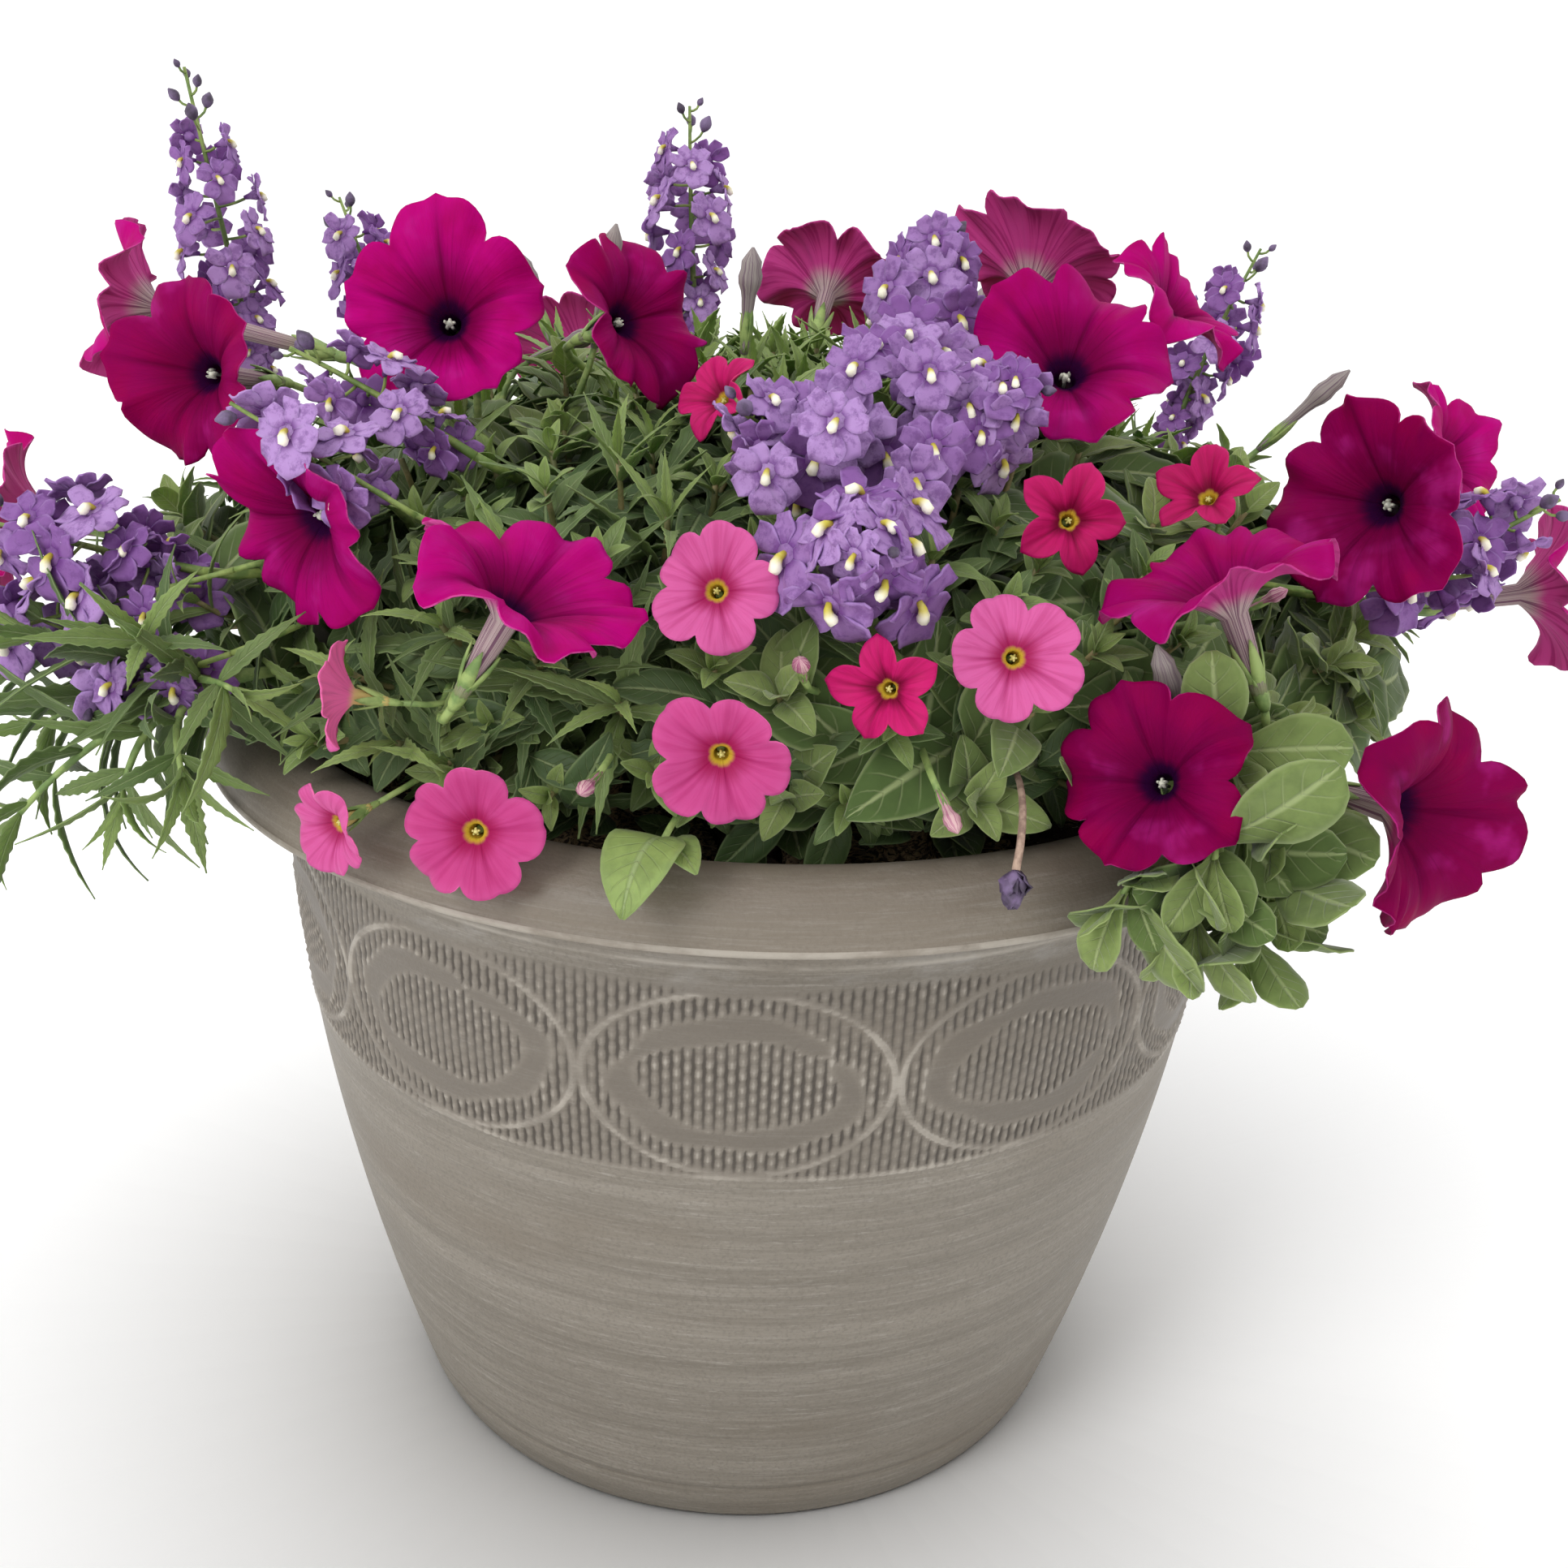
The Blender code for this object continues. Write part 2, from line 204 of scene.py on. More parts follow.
class Shape:
    """Closed thin sheets and tubes gathered into one mesh.

    Every point carries a form: how far across, how far along, and a number of its own for its leaf or
    flower. It also carries a ray, which holds the angle round a flower without a seam.
    """

    def __init__(self):
        """Start with nothing."""
        self.points, self.forms, self.rays, self.faces, self.slots = [], [], [], [], []
        self.count = 0

    def add(self, points, forms, rays, faces, slots):
        """Points with their forms and rays, and blocks of faces, each with its material slot."""
        self.points.append(points)
        self.forms.append(forms)
        self.rays.append(rays)
        for block, slot in zip(faces, slots):
            self.faces.append(np.asarray(block, int) + self.count)
            self.slots.append(np.broadcast_to(np.asarray(slot, int), (len(block),)))
        self.count += len(points)

    def sheet(self, grid, forms, thickness, slots=(0, 0), wrap=False, rays=None):
        """A thin closed sheet on a grid of points. Its front faces rows cross columns."""
        rows, cols = grid.shape[:2]
        along = np.gradient(grid, axis=0)
        if wrap:
            across = (np.roll(grid, -1, axis=1) - np.roll(grid, 1, axis=1)) / 2
        else:
            across = np.gradient(grid, axis=1)
        normal = np.cross(along, across)
        normal /= np.maximum(np.linalg.norm(normal, axis=2, keepdims=True), 1e-12)
        half = normal * thickness / 2
        points = np.concatenate([(grid + half).reshape(-1, 3), (grid - half).reshape(-1, 3)])
        index = np.arange(rows * cols).reshape(rows, cols)
        if wrap:
            index = np.concatenate([index, index[:, :1]], axis=1)
        a, b, c, d = index[:-1, :-1], index[1:, :-1], index[1:, 1:], index[:-1, 1:]
        front = np.stack([a, b, c, d], axis=-1).reshape(-1, 4)
        behind = rows * cols
        back = front[:, ::-1] + behind
        edges = [(index[0, 1:], index[0, :-1]), (index[-1, :-1], index[-1, 1:])]
        if not wrap:
            edges += [(index[:-1, 0], index[1:, 0]), (index[1:, -1], index[:-1, -1])]
        rim = [np.stack([end, start, start + behind, end + behind], axis=-1) for start, end in edges]
        rays = np.zeros_like(forms) if rays is None else rays
        flat_forms = np.concatenate([forms.reshape(-1, 3)] * 2)
        flat_rays = np.concatenate([rays.reshape(-1, 3)] * 2)
        blocks = [front, back, np.concatenate(rim)]
        self.add(points, flat_forms, flat_rays, blocks, (slots[0], slots[1], slots[1]))

    def tube(self, path, radii, sides=6, slot=0, own=0.5, squash=1.0):
        """A closed round tube along a path."""
        path = np.asarray(path, float)
        radii = np.broadcast_to(np.asarray(radii, float), (len(path),))
        ways = np.gradient(path, axis=0)
        side = np.cross(ways[0], UP)
        if np.linalg.norm(side) < 1e-6 * max(np.linalg.norm(ways[0]), 1e-9) + 1e-12:
            side = np.array([1.0, 0.0, 0.0])
        rings = []
        angles = turns(sides)
        for place, way, radius in zip(path, ways, radii):
            way = unit(way)
            side = unit(side - way * np.dot(side, way))
            other = np.cross(way, side)
            ring = np.outer(np.cos(angles), side) + np.outer(np.sin(angles), other) * squash
            rings.append(place + ring * radius)
        points = np.concatenate(rings)
        index = np.arange(len(points)).reshape(len(path), sides)
        turned = np.roll(index, -1, axis=1)
        walls = np.stack([index[:-1], turned[:-1], turned[1:], index[1:]], axis=-1).reshape(-1, 4)
        share = np.repeat(np.linspace(0, 1, len(path)), sides)
        angle = np.tile(angles, len(path))
        forms = np.column_stack([np.cos(angle) * 0.5, share, np.full(len(points), own)])
        rays = np.column_stack([np.cos(angle), np.sin(angle), share])
        caps = np.stack([index[0, ::-1], index[-1]])
        self.add(points, forms, rays, [walls, caps], (slot, slot))

    def put(self, other, axes, place, scale=1.0, own=None, slot_shift=0):
        """A copy of another shape, turned, scaled and moved."""
        start = self.count
        for block, slots in zip(other.faces, other.slots):
            self.faces.append(block + start)
            self.slots.append(slots + slot_shift)
        for points, forms, rays in zip(other.points, other.forms, other.rays):
            self.points.append(points * scale @ axes.T + place)
            if own is not None:
                forms = forms.copy()
                forms[:, 2] = own
            self.forms.append(forms)
            self.rays.append(rays)
        self.count += other.count

    def all_points(self):
        """Every point so far, in one array."""
        return np.concatenate(self.points)

    def move(self, axes, place):
        """Turn and move everything so far."""
        self.points = [points @ axes.T + place for points in self.points]

    def build(self, name, materials):
        """Make the mesh and its object."""
        mesh = bpy.data.meshes.new(name)
        points = self.all_points()
        corners = np.concatenate([block.ravel() for block in self.faces])
        sizes = np.concatenate([np.full(len(block), block.shape[1]) for block in self.faces])
        mesh.vertices.add(len(points))
        mesh.vertices.foreach_set("co", points.astype(np.float32).ravel())
        mesh.loops.add(len(corners))
        mesh.loops.foreach_set("vertex_index", corners.astype(np.int32))
        mesh.polygons.add(len(sizes))
        mesh.polygons.foreach_set("loop_start", (np.cumsum(sizes) - sizes).astype(np.int32))
        mesh.polygons.foreach_set("material_index", np.concatenate(self.slots).astype(np.int32))
        mesh.polygons.foreach_set("use_smooth", np.ones(len(sizes), bool))
        for label, blocks in (("form", self.forms), ("ray", self.rays)):
            layer = mesh.attributes.new(label, "FLOAT_VECTOR", "POINT")
            layer.data.foreach_set("vector", np.concatenate(blocks).astype(np.float32).ravel())
        for material in materials:
            mesh.materials.append(material)
        mesh.update(calc_edges=True)
        mesh.validate()
        item = bpy.data.objects.new(name, mesh)
        bpy.context.scene.collection.objects.link(item)
        return item


def place_piece(item, body, slot, *nodes):
    """Ride a body and stand for CAD nodes. The slot is not used."""
    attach(item, body)
    if nodes:
        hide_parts(*nodes)
    return item


def plant_piece(shape, name, materials, slot, *nodes):
    """Build a shape as a piece that rides the planting."""
    place_piece(shape.build(name, materials), "planting", slot, *nodes)


# ---------------------------------------------------------------- materials


class Nodes:
    """Short ways to write a material's nodes."""

    def __init__(self, name, roughness):
        """A new material with one plain shader."""
        self.material = bpy.data.materials.new(name)
        self.material.use_nodes = True
        self.tree = self.material.node_tree
        self.shader = self.tree.nodes["Principled BSDF"]
        self.shader.inputs["Roughness"].default_value = roughness

    def node(self, kind, inputs=(), **settings):
        """A new node with these settings and inputs."""
        made = self.tree.nodes.new(kind)
        for key, value in settings.items():
            setattr(made, key, value)
        for key, value in dict(inputs).items():
            self.feed(made.inputs[key], value)
        return made

    def feed(self, socket, value):
        """Link another node's output to a socket, or set its value."""
        if isinstance(value, bpy.types.NodeSocket):
            self.tree.links.new(value, socket)
        else:
            socket.default_value = value

    def math(self, operation, a, b=0.0):
        """One sum of two values."""
        return self.node("ShaderNodeMath", {0: a, 1: b}, operation=operation).outputs[0]

    def times(self, a, b):
        """One value times another."""
        return self.math("MULTIPLY", a, b)

    def plus(self, a, b):
        """The sum of two values."""
        return self.math("ADD", a, b)

    def minus(self, a, b):
        """One value less another."""
        return self.math("SUBTRACT", a, b)

    def attribute(self, name):
        """What every point of the mesh carries under this name."""
        return self.node("ShaderNodeAttribute", attribute_name=name).outputs["Vector"]

    def parts(self, vector):
        """The three parts of a vector."""
        return self.node("ShaderNodeSeparateXYZ", {"Vector": vector}).outputs

    def scaled(self, vector, scale):
        """A vector stretched along its axes."""
        return self.node("ShaderNodeVectorMath", {0: vector, 1: scale}, operation="MULTIPLY").outputs[0]

    def place(self):
        """Where a point is on its object, in metres."""
        return self.node("ShaderNodeTexCoord").outputs["Object"]

    def noise(self, vector, scale, detail=4.0, rough=0.55, distortion=0.0):
        """Cloudy noise from 0 to 1."""
        inputs = {"Vector": vector, "Scale": scale, "Detail": detail, "Roughness": rough}
        return self.node("ShaderNodeTexNoise", {**inputs, "Distortion": distortion}).outputs["Fac"]

    def step(self, value, low, high, start=0.0, end=1.0):
        """A smooth change from start to end while value goes from low to high."""
        inputs = {"Value": value, "From Min": low, "From Max": high, "To Min": start, "To Max": end}
        return self.node("ShaderNodeMapRange", inputs, interpolation_type="SMOOTHSTEP").outputs["Result"]

    def mix(self, factor, a, b):
        """Colour a where the factor is 0, and colour b where it is 1."""
        made = self.node("ShaderNodeMix", data_type="RGBA")
        for socket, value in ((0, factor), (6, a), (7, b)):
            if not isinstance(value, (int, float, bpy.types.NodeSocket)):
                value = (*value, 1.0)
            self.feed(made.inputs[socket], value)
        return made.outputs[2]

    def colour(self, value):
        """The surface's colour."""
        self.feed(self.shader.inputs["Base Color"], value)

    def bump(self, height, distance, strength):
        """Fine relief that is too small to model."""
        made = self.node("ShaderNodeBump", {"Height": height, "Distance": distance, "Strength": strength})
        self.feed(self.shader.inputs["Normal"], made.outputs["Normal"])

    def rough(self, value):
        """A roughness that varies over the surface."""
        self.feed(self.shader.inputs["Roughness"], value)

    def fix(self, values):
        """Set inputs of the shader that are the same all over."""
        for key, value in values.items():
            self.shader.inputs[key].default_value = value

    def soften(self, amount, radius, gloss=0.12, depth=0.002):
        """Petals and leaves let a little light through and shine little."""
        self.fix({"Subsurface Weight": amount, "Subsurface Radius": radius, "Subsurface Scale": depth})
        self.fix({"Specular IOR Level": gloss})


def linear(*screen):
    """A colour seen on a screen, 0 to 255, as the shader needs it."""
    shares = [part / 255 for part in screen]
    return tuple(share / 12.92 if share <= 0.04 else ((share + 0.055) / 1.055) ** 2.4 for share in shares)


def pot_material():
    """Matt resin with brushed streaks, worn lighter on raised edges and darker in the weave, and a painted
    highlight on the bead under the rim.

    The relief is in weave depths, and the height is a share of the pot's.
    """
    n = Nodes("pot_resin", 0.62)
    place = n.place()
    relief, height, _ = n.parts(n.attribute("form"))
    streak = n.noise(n.scaled(place, (1.6, 1.6, 60.0)), 3.0, 7.0, 0.68, 0.05)
    hair = n.noise(n.scaled(place, (5.0, 5.0, 190.0)), 5.0, 6.0, 0.78)
    fleck = n.noise(n.scaled(place, (26.0, 26.0, 300.0)), 4.0, 4.0, 0.75)
    patch = n.noise(n.scaled(place, (3.5, 3.5, 8.0)), 2.2, 3.0, 0.5)
    grain = n.noise(place, 900.0, 2.0, 0.6)
    worn = n.noise(n.scaled(place, (1.0, 1.0, 3.0)), 26.0, 5.0, 0.7)
    base = n.mix(n.step(streak, 0.36, 0.66), linear(116, 109, 98), linear(136, 129, 118))
    base = n.mix(n.step(hair, 0.5, 0.70, 0.0, 0.5), base, linear(158, 152, 143))
    base = n.mix(n.step(fleck, 0.54, 0.72, 0.0, 0.45), base, linear(170, 165, 157))
    base = n.mix(n.step(fleck, 0.44, 0.28, 0.0, 0.35), base, linear(100, 93, 82))
    base = n.mix(n.step(patch, 0.5, 0.72, 0.0, 0.5), base, linear(108, 97, 82))
    base = n.mix(n.step(grain, 0.45, 0.7, 0.0, 0.34), base, linear(96, 89, 79))
    wash = n.times(n.step(height, 0.80, 0.86), n.step(height, 0.905, 0.87))
    base = n.mix(n.times(wash, n.step(worn, 0.5, 0.68, 0.0, 0.6)), base, linear(150, 146, 140))
    band = n.times(n.step(height, 0.60, 0.615), n.step(height, 0.86, 0.845))
    base = n.mix(n.times(band, 0.62), base, linear(109, 101, 91))
    rim = n.step(height, 0.90, 0.925)
    base = n.mix(n.times(rim, n.step(hair, 0.3, 0.7, 0.75, 0.4)), base, linear(112, 101, 87))
    base = n.mix(n.step(relief, 0.08, -0.32, 0.0, 0.92), base, linear(66, 59, 51))
    # The same light colour also paints the highlight on the bead under the rim.
    raised = n.times(n.step(relief, 0.06, 0.42, 0.0, 0.66), n.step(worn, 0.40, 0.62, 0.22, 1.0))
    base = n.mix(raised, base, linear(172, 165, 154))
    n.colour(base)
    n.rough(n.step(streak, 0.3, 0.7, 0.46, 0.64))
    n.bump(n.plus(n.times(streak, 0.5), n.times(grain, 0.35)), 0.0007, 0.55)
    return n.material


def soil_material():
    """Dark fibrous mix with pale specks."""
    n = Nodes("potting_mix", 0.95)
    place = n.place()
    lumps = n.noise(place, 160.0, 6.0, 0.65)
    fleck = n.noise(place, 620.0, 2.0, 0.5)
    base = n.mix(n.step(lumps, 0.35, 0.7), linear(34, 25, 19), linear(74, 56, 42))
    n.colour(n.mix(n.step(fleck, 0.68, 0.74), base, linear(186, 178, 160)))
    n.bump(lumps, 0.003, 0.8)
    return n.material


def root_material():
    """Matted pale roots over dark mix."""
    n = Nodes("root_ball", 0.9)
    place = n.place()
    mat = n.noise(n.scaled(place, (1.0, 1.0, 2.2)), 240.0, 5.0, 0.7, 1.8)
    n.colour(n.mix(n.step(mat, 0.44, 0.56), linear(58, 43, 31), linear(176, 152, 116)))
    n.bump(mat, 0.0015, 0.7)
    return n.material


def leaf_material(name, dark, light, midrib, roughness, veins, downy=0.0, gloss=0.35):
    """A leaf: paler midrib and side veins, mottled, brighter when it is young."""
    n = Nodes(name, roughness)
    across, along, own = n.parts(n.attribute("form"))
    place = n.place()
    side = n.math("ABSOLUTE", across)
    age = n.step(own, 0.0, 1.0)
    base = n.mix(age, dark, light)
    mottle = n.noise(place, 210.0, 4.0, 0.6)
    base = n.mix(n.step(mottle, 0.35, 0.7, 0.0, 0.28), base, tuple(c * 0.62 for c in dark))
    slant = n.minus(n.times(along, veins), n.times(side, veins * 0.22))
    wave = n.math("PINGPONG", slant, 0.5)
    vein = n.times(n.step(wave, 0.10, 0.0), n.step(side, 1.0, 0.3))
    rib = n.step(side, 0.13, 0.03)
    base = n.mix(n.times(vein, 0.30), base, midrib)
    base = n.mix(n.times(rib, 0.62), base, midrib)
    edge = n.step(side, 0.86, 1.0, 0.0, 0.35)
    base = n.mix(edge, base, midrib)
    n.colour(base)
    grooves = n.plus(rib, n.times(vein, 0.7))
    n.bump(n.minus(n.times(mottle, 0.35), grooves), 0.0006, 0.6)
    n.fix({"Sheen Weight": downy, "Sheen Roughness": 0.45})
    n.soften(0.12, (0.6, 1.0, 0.25), gloss, 0.0015)
    return n.material


def petunia_front():
    """Magenta velvet with dark veins that gather in a nearly black throat."""
    n = Nodes("petunia_petal", 0.62)
    lobe, along, own = n.parts(n.attribute("form"))
    ray = n.attribute("ray")
    fan = n.noise(n.scaled(ray, (16.0, 16.0, 1.6)), 1.0, 4.0, 0.6)
    cloud = n.noise(n.place(), 70.0, 3.0, 0.5)
    # Petunias are lighter or darker at random, and the darkest are painted shade for blooms that sit in
    # shadow.
    base = n.mix(n.step(own, 0.0, 1.0), linear(116, 0, 64), linear(170, 2, 110))
    base = n.mix(n.step(cloud, 0.45, 0.7, 0.0, 0.5), base, linear(138, 0, 62))
    base = n.mix(n.step(cloud, 0.46, 0.3, 0.0, 0.4), base, linear(172, 36, 132))
    base = n.mix(n.step(along, 0.78, 0.34, 0.0, 0.85), base, linear(96, 0, 52))
    inward = n.step(along, 1.05, 0.3)
    veins = n.times(n.step(fan, 0.5, 0.66), n.times(inward, 0.6))
    base = n.mix(veins, base, linear(92, 0, 50))
    crease = n.times(n.step(lobe, 0.17, 0.0), n.step(along, 1.02, 0.45, 0.10, 0.62))
    base = n.mix(crease, base, linear(86, 0, 48))
    seam = n.times(n.step(lobe, 0.90, 0.99), n.step(along, 0.95, 0.4, 0.1, 0.5))
    base = n.mix(seam, base, linear(104, 0, 56))
    base = n.mix(n.step(along, 0.40, 0.29), base, linear(40, 2, 44))
    base = n.mix(n.step(along, 0.20, 0.08), base, linear(70, 60, 62))
    n.colour(base)
    n.bump(n.plus(n.times(fan, 0.6), n.times(crease, -0.8)), 0.0008, 0.6)
    n.soften(0.14, (1.0, 0.02, 0.4), 0.03)
    return n.material


def petunia_back():
    """The paler outside of the funnel, veined down its tube."""
    n = Nodes("petunia_back", 0.7)
    _, along, own = n.parts(n.attribute("form"))
    fan = n.noise(n.scaled(n.attribute("ray"), (13.0, 13.0, 1.0)), 1.0, 4.0, 0.6)
    petal = n.mix(n.step(own, 0.0, 1.0), linear(160, 34, 108), linear(184, 66, 136))
    petal = n.mix(n.step(fan, 0.46, 0.62, 0.0, 0.65), petal, linear(130, 18, 84))
    tube = n.mix(n.step(fan, 0.42, 0.6), linear(176, 158, 156), linear(112, 78, 98))
    base = n.mix(n.step(along, 0.30, 0.5), tube, petal)
    n.colour(n.mix(n.step(along, 0.1, 0.0), base, linear(128, 140, 92)))
    n.bump(fan, 0.0006, 0.5)
    n.soften(0.15, (1.0, 0.2, 0.5))
    return n.material


def calibrachoa_front(name, petal, pale, vein_colour, ring):
    """A small bell: darker veins between and down its lobes, a crimson ring and a yellow throat."""
    n = Nodes(name, 0.58)
    lobe, along, own = n.parts(n.attribute("form"))
    fan = n.noise(n.scaled(n.attribute("ray"), (9.0, 9.0, 1.2)), 1.0, 3.0, 0.55)
    base = n.mix(n.step(own, 0.0, 1.0), petal, pale)
    base = n.mix(n.step(fan, 0.42, 0.68, 0.0, 0.35), base, vein_colour)
    base = n.mix(n.step(along, 0.8, 1.0, 0.0, 0.25), base, pale)
    crease = n.times(n.step(lobe, 0.20, 0.0), n.step(along, 1.0, 0.45, 0.05, 0.6))
    base = n.mix(crease, base, vein_colour)
    base = n.mix(n.step(along, 0.60, 0.32, 0.0, 0.85), base, ring)
    base = n.mix(n.step(along, 0.33, 0.26), base, linear(196, 166, 52))
    n.colour(n.mix(n.step(along, 0.2, 0.05), base, linear(168, 132, 40)))
    n.bump(n.minus(fan, crease), 0.0004, 0.5)
    n.soften(0.2, (1.0, 0.35, 0.5))
    return n.material


def calibrachoa_back(name, petal, tube):
    """The outside of a small bell and its pale tube."""
    n = Nodes(name, 0.65)
    _, along, _ = n.parts(n.attribute("form"))
    fan = n.noise(n.scaled(n.attribute("ray"), (8.0, 8.0, 1.0)), 1.0, 3.0, 0.55)
    base = n.mix(n.step(fan, 0.45, 0.65, 0.0, 0.5), petal, tuple(c * 0.55 for c in petal))
    n.colour(n.mix(n.step(along, 0.4, 0.2), base, tube))
    n.soften(0.15, (1.0, 0.35, 0.5))
    return n.material


def lilac_material():
    """The lips of the spike flowers."""
    n = Nodes("lilac_petal", 0.62)
    across, along, own = n.parts(n.attribute("form"))
    base = n.mix(n.step(own, 0.0, 1.0), linear(126, 84, 146), linear(168, 134, 188))
    cloud = n.noise(n.place(), 320.0, 5.0, 0.72)
    base = n.mix(n.step(cloud, 0.46, 0.64, 0.0, 0.6), base, linear(104, 66, 124))
    base = n.mix(n.step(along, 0.42, 0.1, 0.0, 0.8), base, linear(92, 40, 116))
    base = n.mix(n.step(n.math("ABSOLUTE", across), 0.75, 1.0, 0.0, 0.3), base, linear(178, 148, 204))
    n.colour(base)
    n.bump(cloud, 0.0003, 0.5)
    n.soften(0.12, (0.9, 0.55, 0.9))
    return n.material


def palate_material():
    """The cream tongue of a spike flower, yellow at its root."""
    n = Nodes("cream_palate", 0.55)
    _, along, _ = n.parts(n.attribute("form"))
    cloud = n.noise(n.place(), 700.0, 2.0, 0.5)
    base = n.mix(n.step(along, 0.25, 0.62), linear(196, 182, 60), linear(246, 242, 222))
    n.colour(n.mix(n.step(cloud, 0.5, 0.7, 0.0, 0.25), base, linear(206, 196, 150)))
    return n.material


def plain_plant_material(name, colour_a, colour_b, roughness=0.6, scale=160.0, stripes=0.0):
    """Stems, buds and anthers: two mottled colours, striped lengthways where asked."""
    n = Nodes(name, roughness)
    noise = n.noise(n.place(), scale, 4.0, 0.6)
    if stripes:
        noise = n.noise(n.scaled(n.attribute("ray"), (stripes, stripes, 0.8)), 1.0, 3.0, 0.6)
    _, _, own = n.parts(n.attribute("form"))
    base = n.mix(n.step(noise, 0.38, 0.62), colour_a, colour_b)
    n.colour(n.mix(n.step(own, 0.6, 1.0, 0.0, 0.35), base, colour_b))
    n.bump(noise, 0.0004, 0.4)
    return n.material


def floor_material():
    """Plain, pale and matt."""
    n = Nodes("pale_floor", 0.9)
    tone = n.noise(n.place(), 2.0, 2.0, 0.5)
    n.colour(n.mix(tone, (0.965, 0.965, 0.965), (0.98, 0.98, 0.98)))
    n.fix({"Specular IOR Level": 0.0})
    return n.material


STEM = plain_plant_material("stem_green", linear(96, 122, 58), linear(140, 158, 84))
WOODY = plain_plant_material("crown_stem", linear(92, 96, 52), linear(140, 128, 84))
SEPAL = plain_plant_material("sepal_green", linear(104, 132, 70), linear(150, 172, 100))
BUD = plain_plant_material("petunia_bud", linear(104, 84, 96), linear(150, 142, 136), 0.7, stripes=7.0)
PINK_BUD = plain_plant_material("pink_bud", linear(150, 62, 110), linear(206, 170, 170), 0.6, stripes=6.0)
LILAC_BUD = plain_plant_material("lilac_bud", linear(64, 52, 72), linear(112, 92, 128), 0.6)
ANTHER = plain_plant_material("anther", linear(170, 164, 84), linear(214, 206, 130), 0.6, 600.0)
PALE_ANTHER = plain_plant_material("pale_anther", linear(150, 150, 140), linear(206, 206, 190), 0.6, 600.0)
WITHERED = plain_plant_material("withered", linear(128, 104, 92), linear(176, 150, 132), 0.8, 300.0)
PETUNIA = petunia_front()
PETUNIA_BACK = petunia_back()
PINK = calibrachoa_front(
    "pink_petal", linear(178, 58, 120), linear(200, 90, 150), linear(150, 20, 86), linear(146, 6, 70)
)
PINK_BACK = calibrachoa_back("pink_back", linear(222, 104, 160), linear(196, 176, 110))
ROSE = calibrachoa_front(
    "rose_petal", linear(160, 2, 74), linear(184, 22, 98), linear(116, 0, 48), linear(98, 0, 36)
)
ROSE_BACK = calibrachoa_back("rose_back", linear(204, 60, 110), linear(190, 160, 100))
LILAC = lilac_material()
PALATE = palate_material()
PETUNIA_LEAF = leaf_material(
    "petunia_leaf", linear(74, 94, 50), linear(132, 148, 88), linear(160, 172, 122), 0.8, 7.0, 0.22, 0.12
)
FINE_LEAF = leaf_material(
    "fine_leaf", linear(64, 86, 46), linear(130, 150, 82), linear(140, 156, 108), 0.55, 9.0, 0.04, 0.35
)


# ---------------------------------------------------------------- pot


def body_radius(height):
    """The outer radius of the pot's body: it swells quickly above the base and slowly below the neck."""
    share = min(height / NECK_HEIGHT, 1.0)
    return BASE_RADIUS + (NECK_RADIUS - BASE_RADIUS) * (1 - (1 - share) ** BODY_CURVE)


def arc(centre, half_width, half_height, start, end, count):
    """Points of an elliptical arc in the profile plane, angles in degrees."""
    angles = np.radians(np.linspace(start, end, count + 1))
    return [(centre[0] + half_width * math.cos(a), centre[1] + half_height * math.sin(a)) for a in angles]


def bell(value, width):
    """A smooth bump, one at zero."""
    return np.exp(-((value / width) ** 2))


def smooth(value, low, high):
    """A smooth rise from zero at low to one at high."""
    share = np.clip((value - low) / (high - low), 0, 1)
    return share * share * (3 - 2 * share)


def band_relief(turn, height):
    """How far the moulded band stands out, in metres, at angles round the pot and heights."""
    step = 2 * math.pi / OVAL_COUNT
    number = np.round(turn / step)
    side = turn - number * step
    up = height - OVAL_HEIGHT
    lean = np.arctan2(up / OVAL_HALF_HEIGHT, side / OVAL_HALF_ANGLE)
    oval = np.hypot(side / OVAL_HALF_ANGLE, up / OVAL_HALF_HEIGHT)
    wobble = 0.045 * np.sin(3 * lean + number * 2.1) + 0.03 * np.sin(7 * lean + number * 4.7 + 1)
    notch = 0.16 * bell(np.mod(lean - 0.5 + number * 0.7 + math.pi, 2 * math.pi) - math.pi, 0.16)
    ring = np.hypot(side / RING_HALF_ANGLE, up / RING_HALF_HEIGHT) + wobble + notch
    well = np.hypot(side / WELL_HALF_ANGLE, up / WELL_HALF_HEIGHT) - notch
    well = well + 0.06 * np.sin(4 * lean + number * 3.3)
    broken = 0.62 + 0.38 * np.sin(3 * lean + number * 1.9) * np.sin(5 * lean + number)
    bead = BEAD_HEIGHT * bell(oval - 0.965, 0.021) * broken
    flat = smooth(ring, 1.0, 0.94) * smooth(well, 0.97, 1.03)
    lip = bell(ring - 0.98, 0.035) * 0.5 + bell(well - 1.0, 0.04) * 0.35
    column = turn / (2 * math.pi) * WEAVE_COLUMNS
    whole = np.floor(column)
    ridge = np.sin(math.pi * (column - whole)) ** 1.2
    drift = 0.25 * np.sin(whole * 0.37 + 5 * np.sin(turn * 7))
    dash = 0.5 + 0.5 * np.cos(2 * math.pi * (height / WEAVE_DASH + whole / 2 + drift))
    weave = WEAVE_DEPTH * (ridge * (0.5 + 0.5 * dash) - 0.5)
    worn = 0.72 + 0.28 * np.sin(turn * 9 + 3 * np.sin(height * 140)) * np.sin(height * 170 + turn * 4)
    cover = np.clip(flat + bell(oval - 0.965, 0.045), 0, 1)
    brow = BAND_TOP - 0.0030 * bell(side, OVAL_HALF_ANGLE * 0.55)
    edge = smooth(height, BAND_BOTTOM, BAND_BOTTOM + 0.002) * smooth(height, brow, brow - 0.003)
    relief = weave * worn * (1 - cover) + bead - flat * RING_HEIGHT * 0.1 + lip * RING_HEIGHT * 0.7
    lower_line = 0.0005 * bell(height - BAND_BOTTOM - 0.001, 0.0007)
    return relief * edge + lower_line


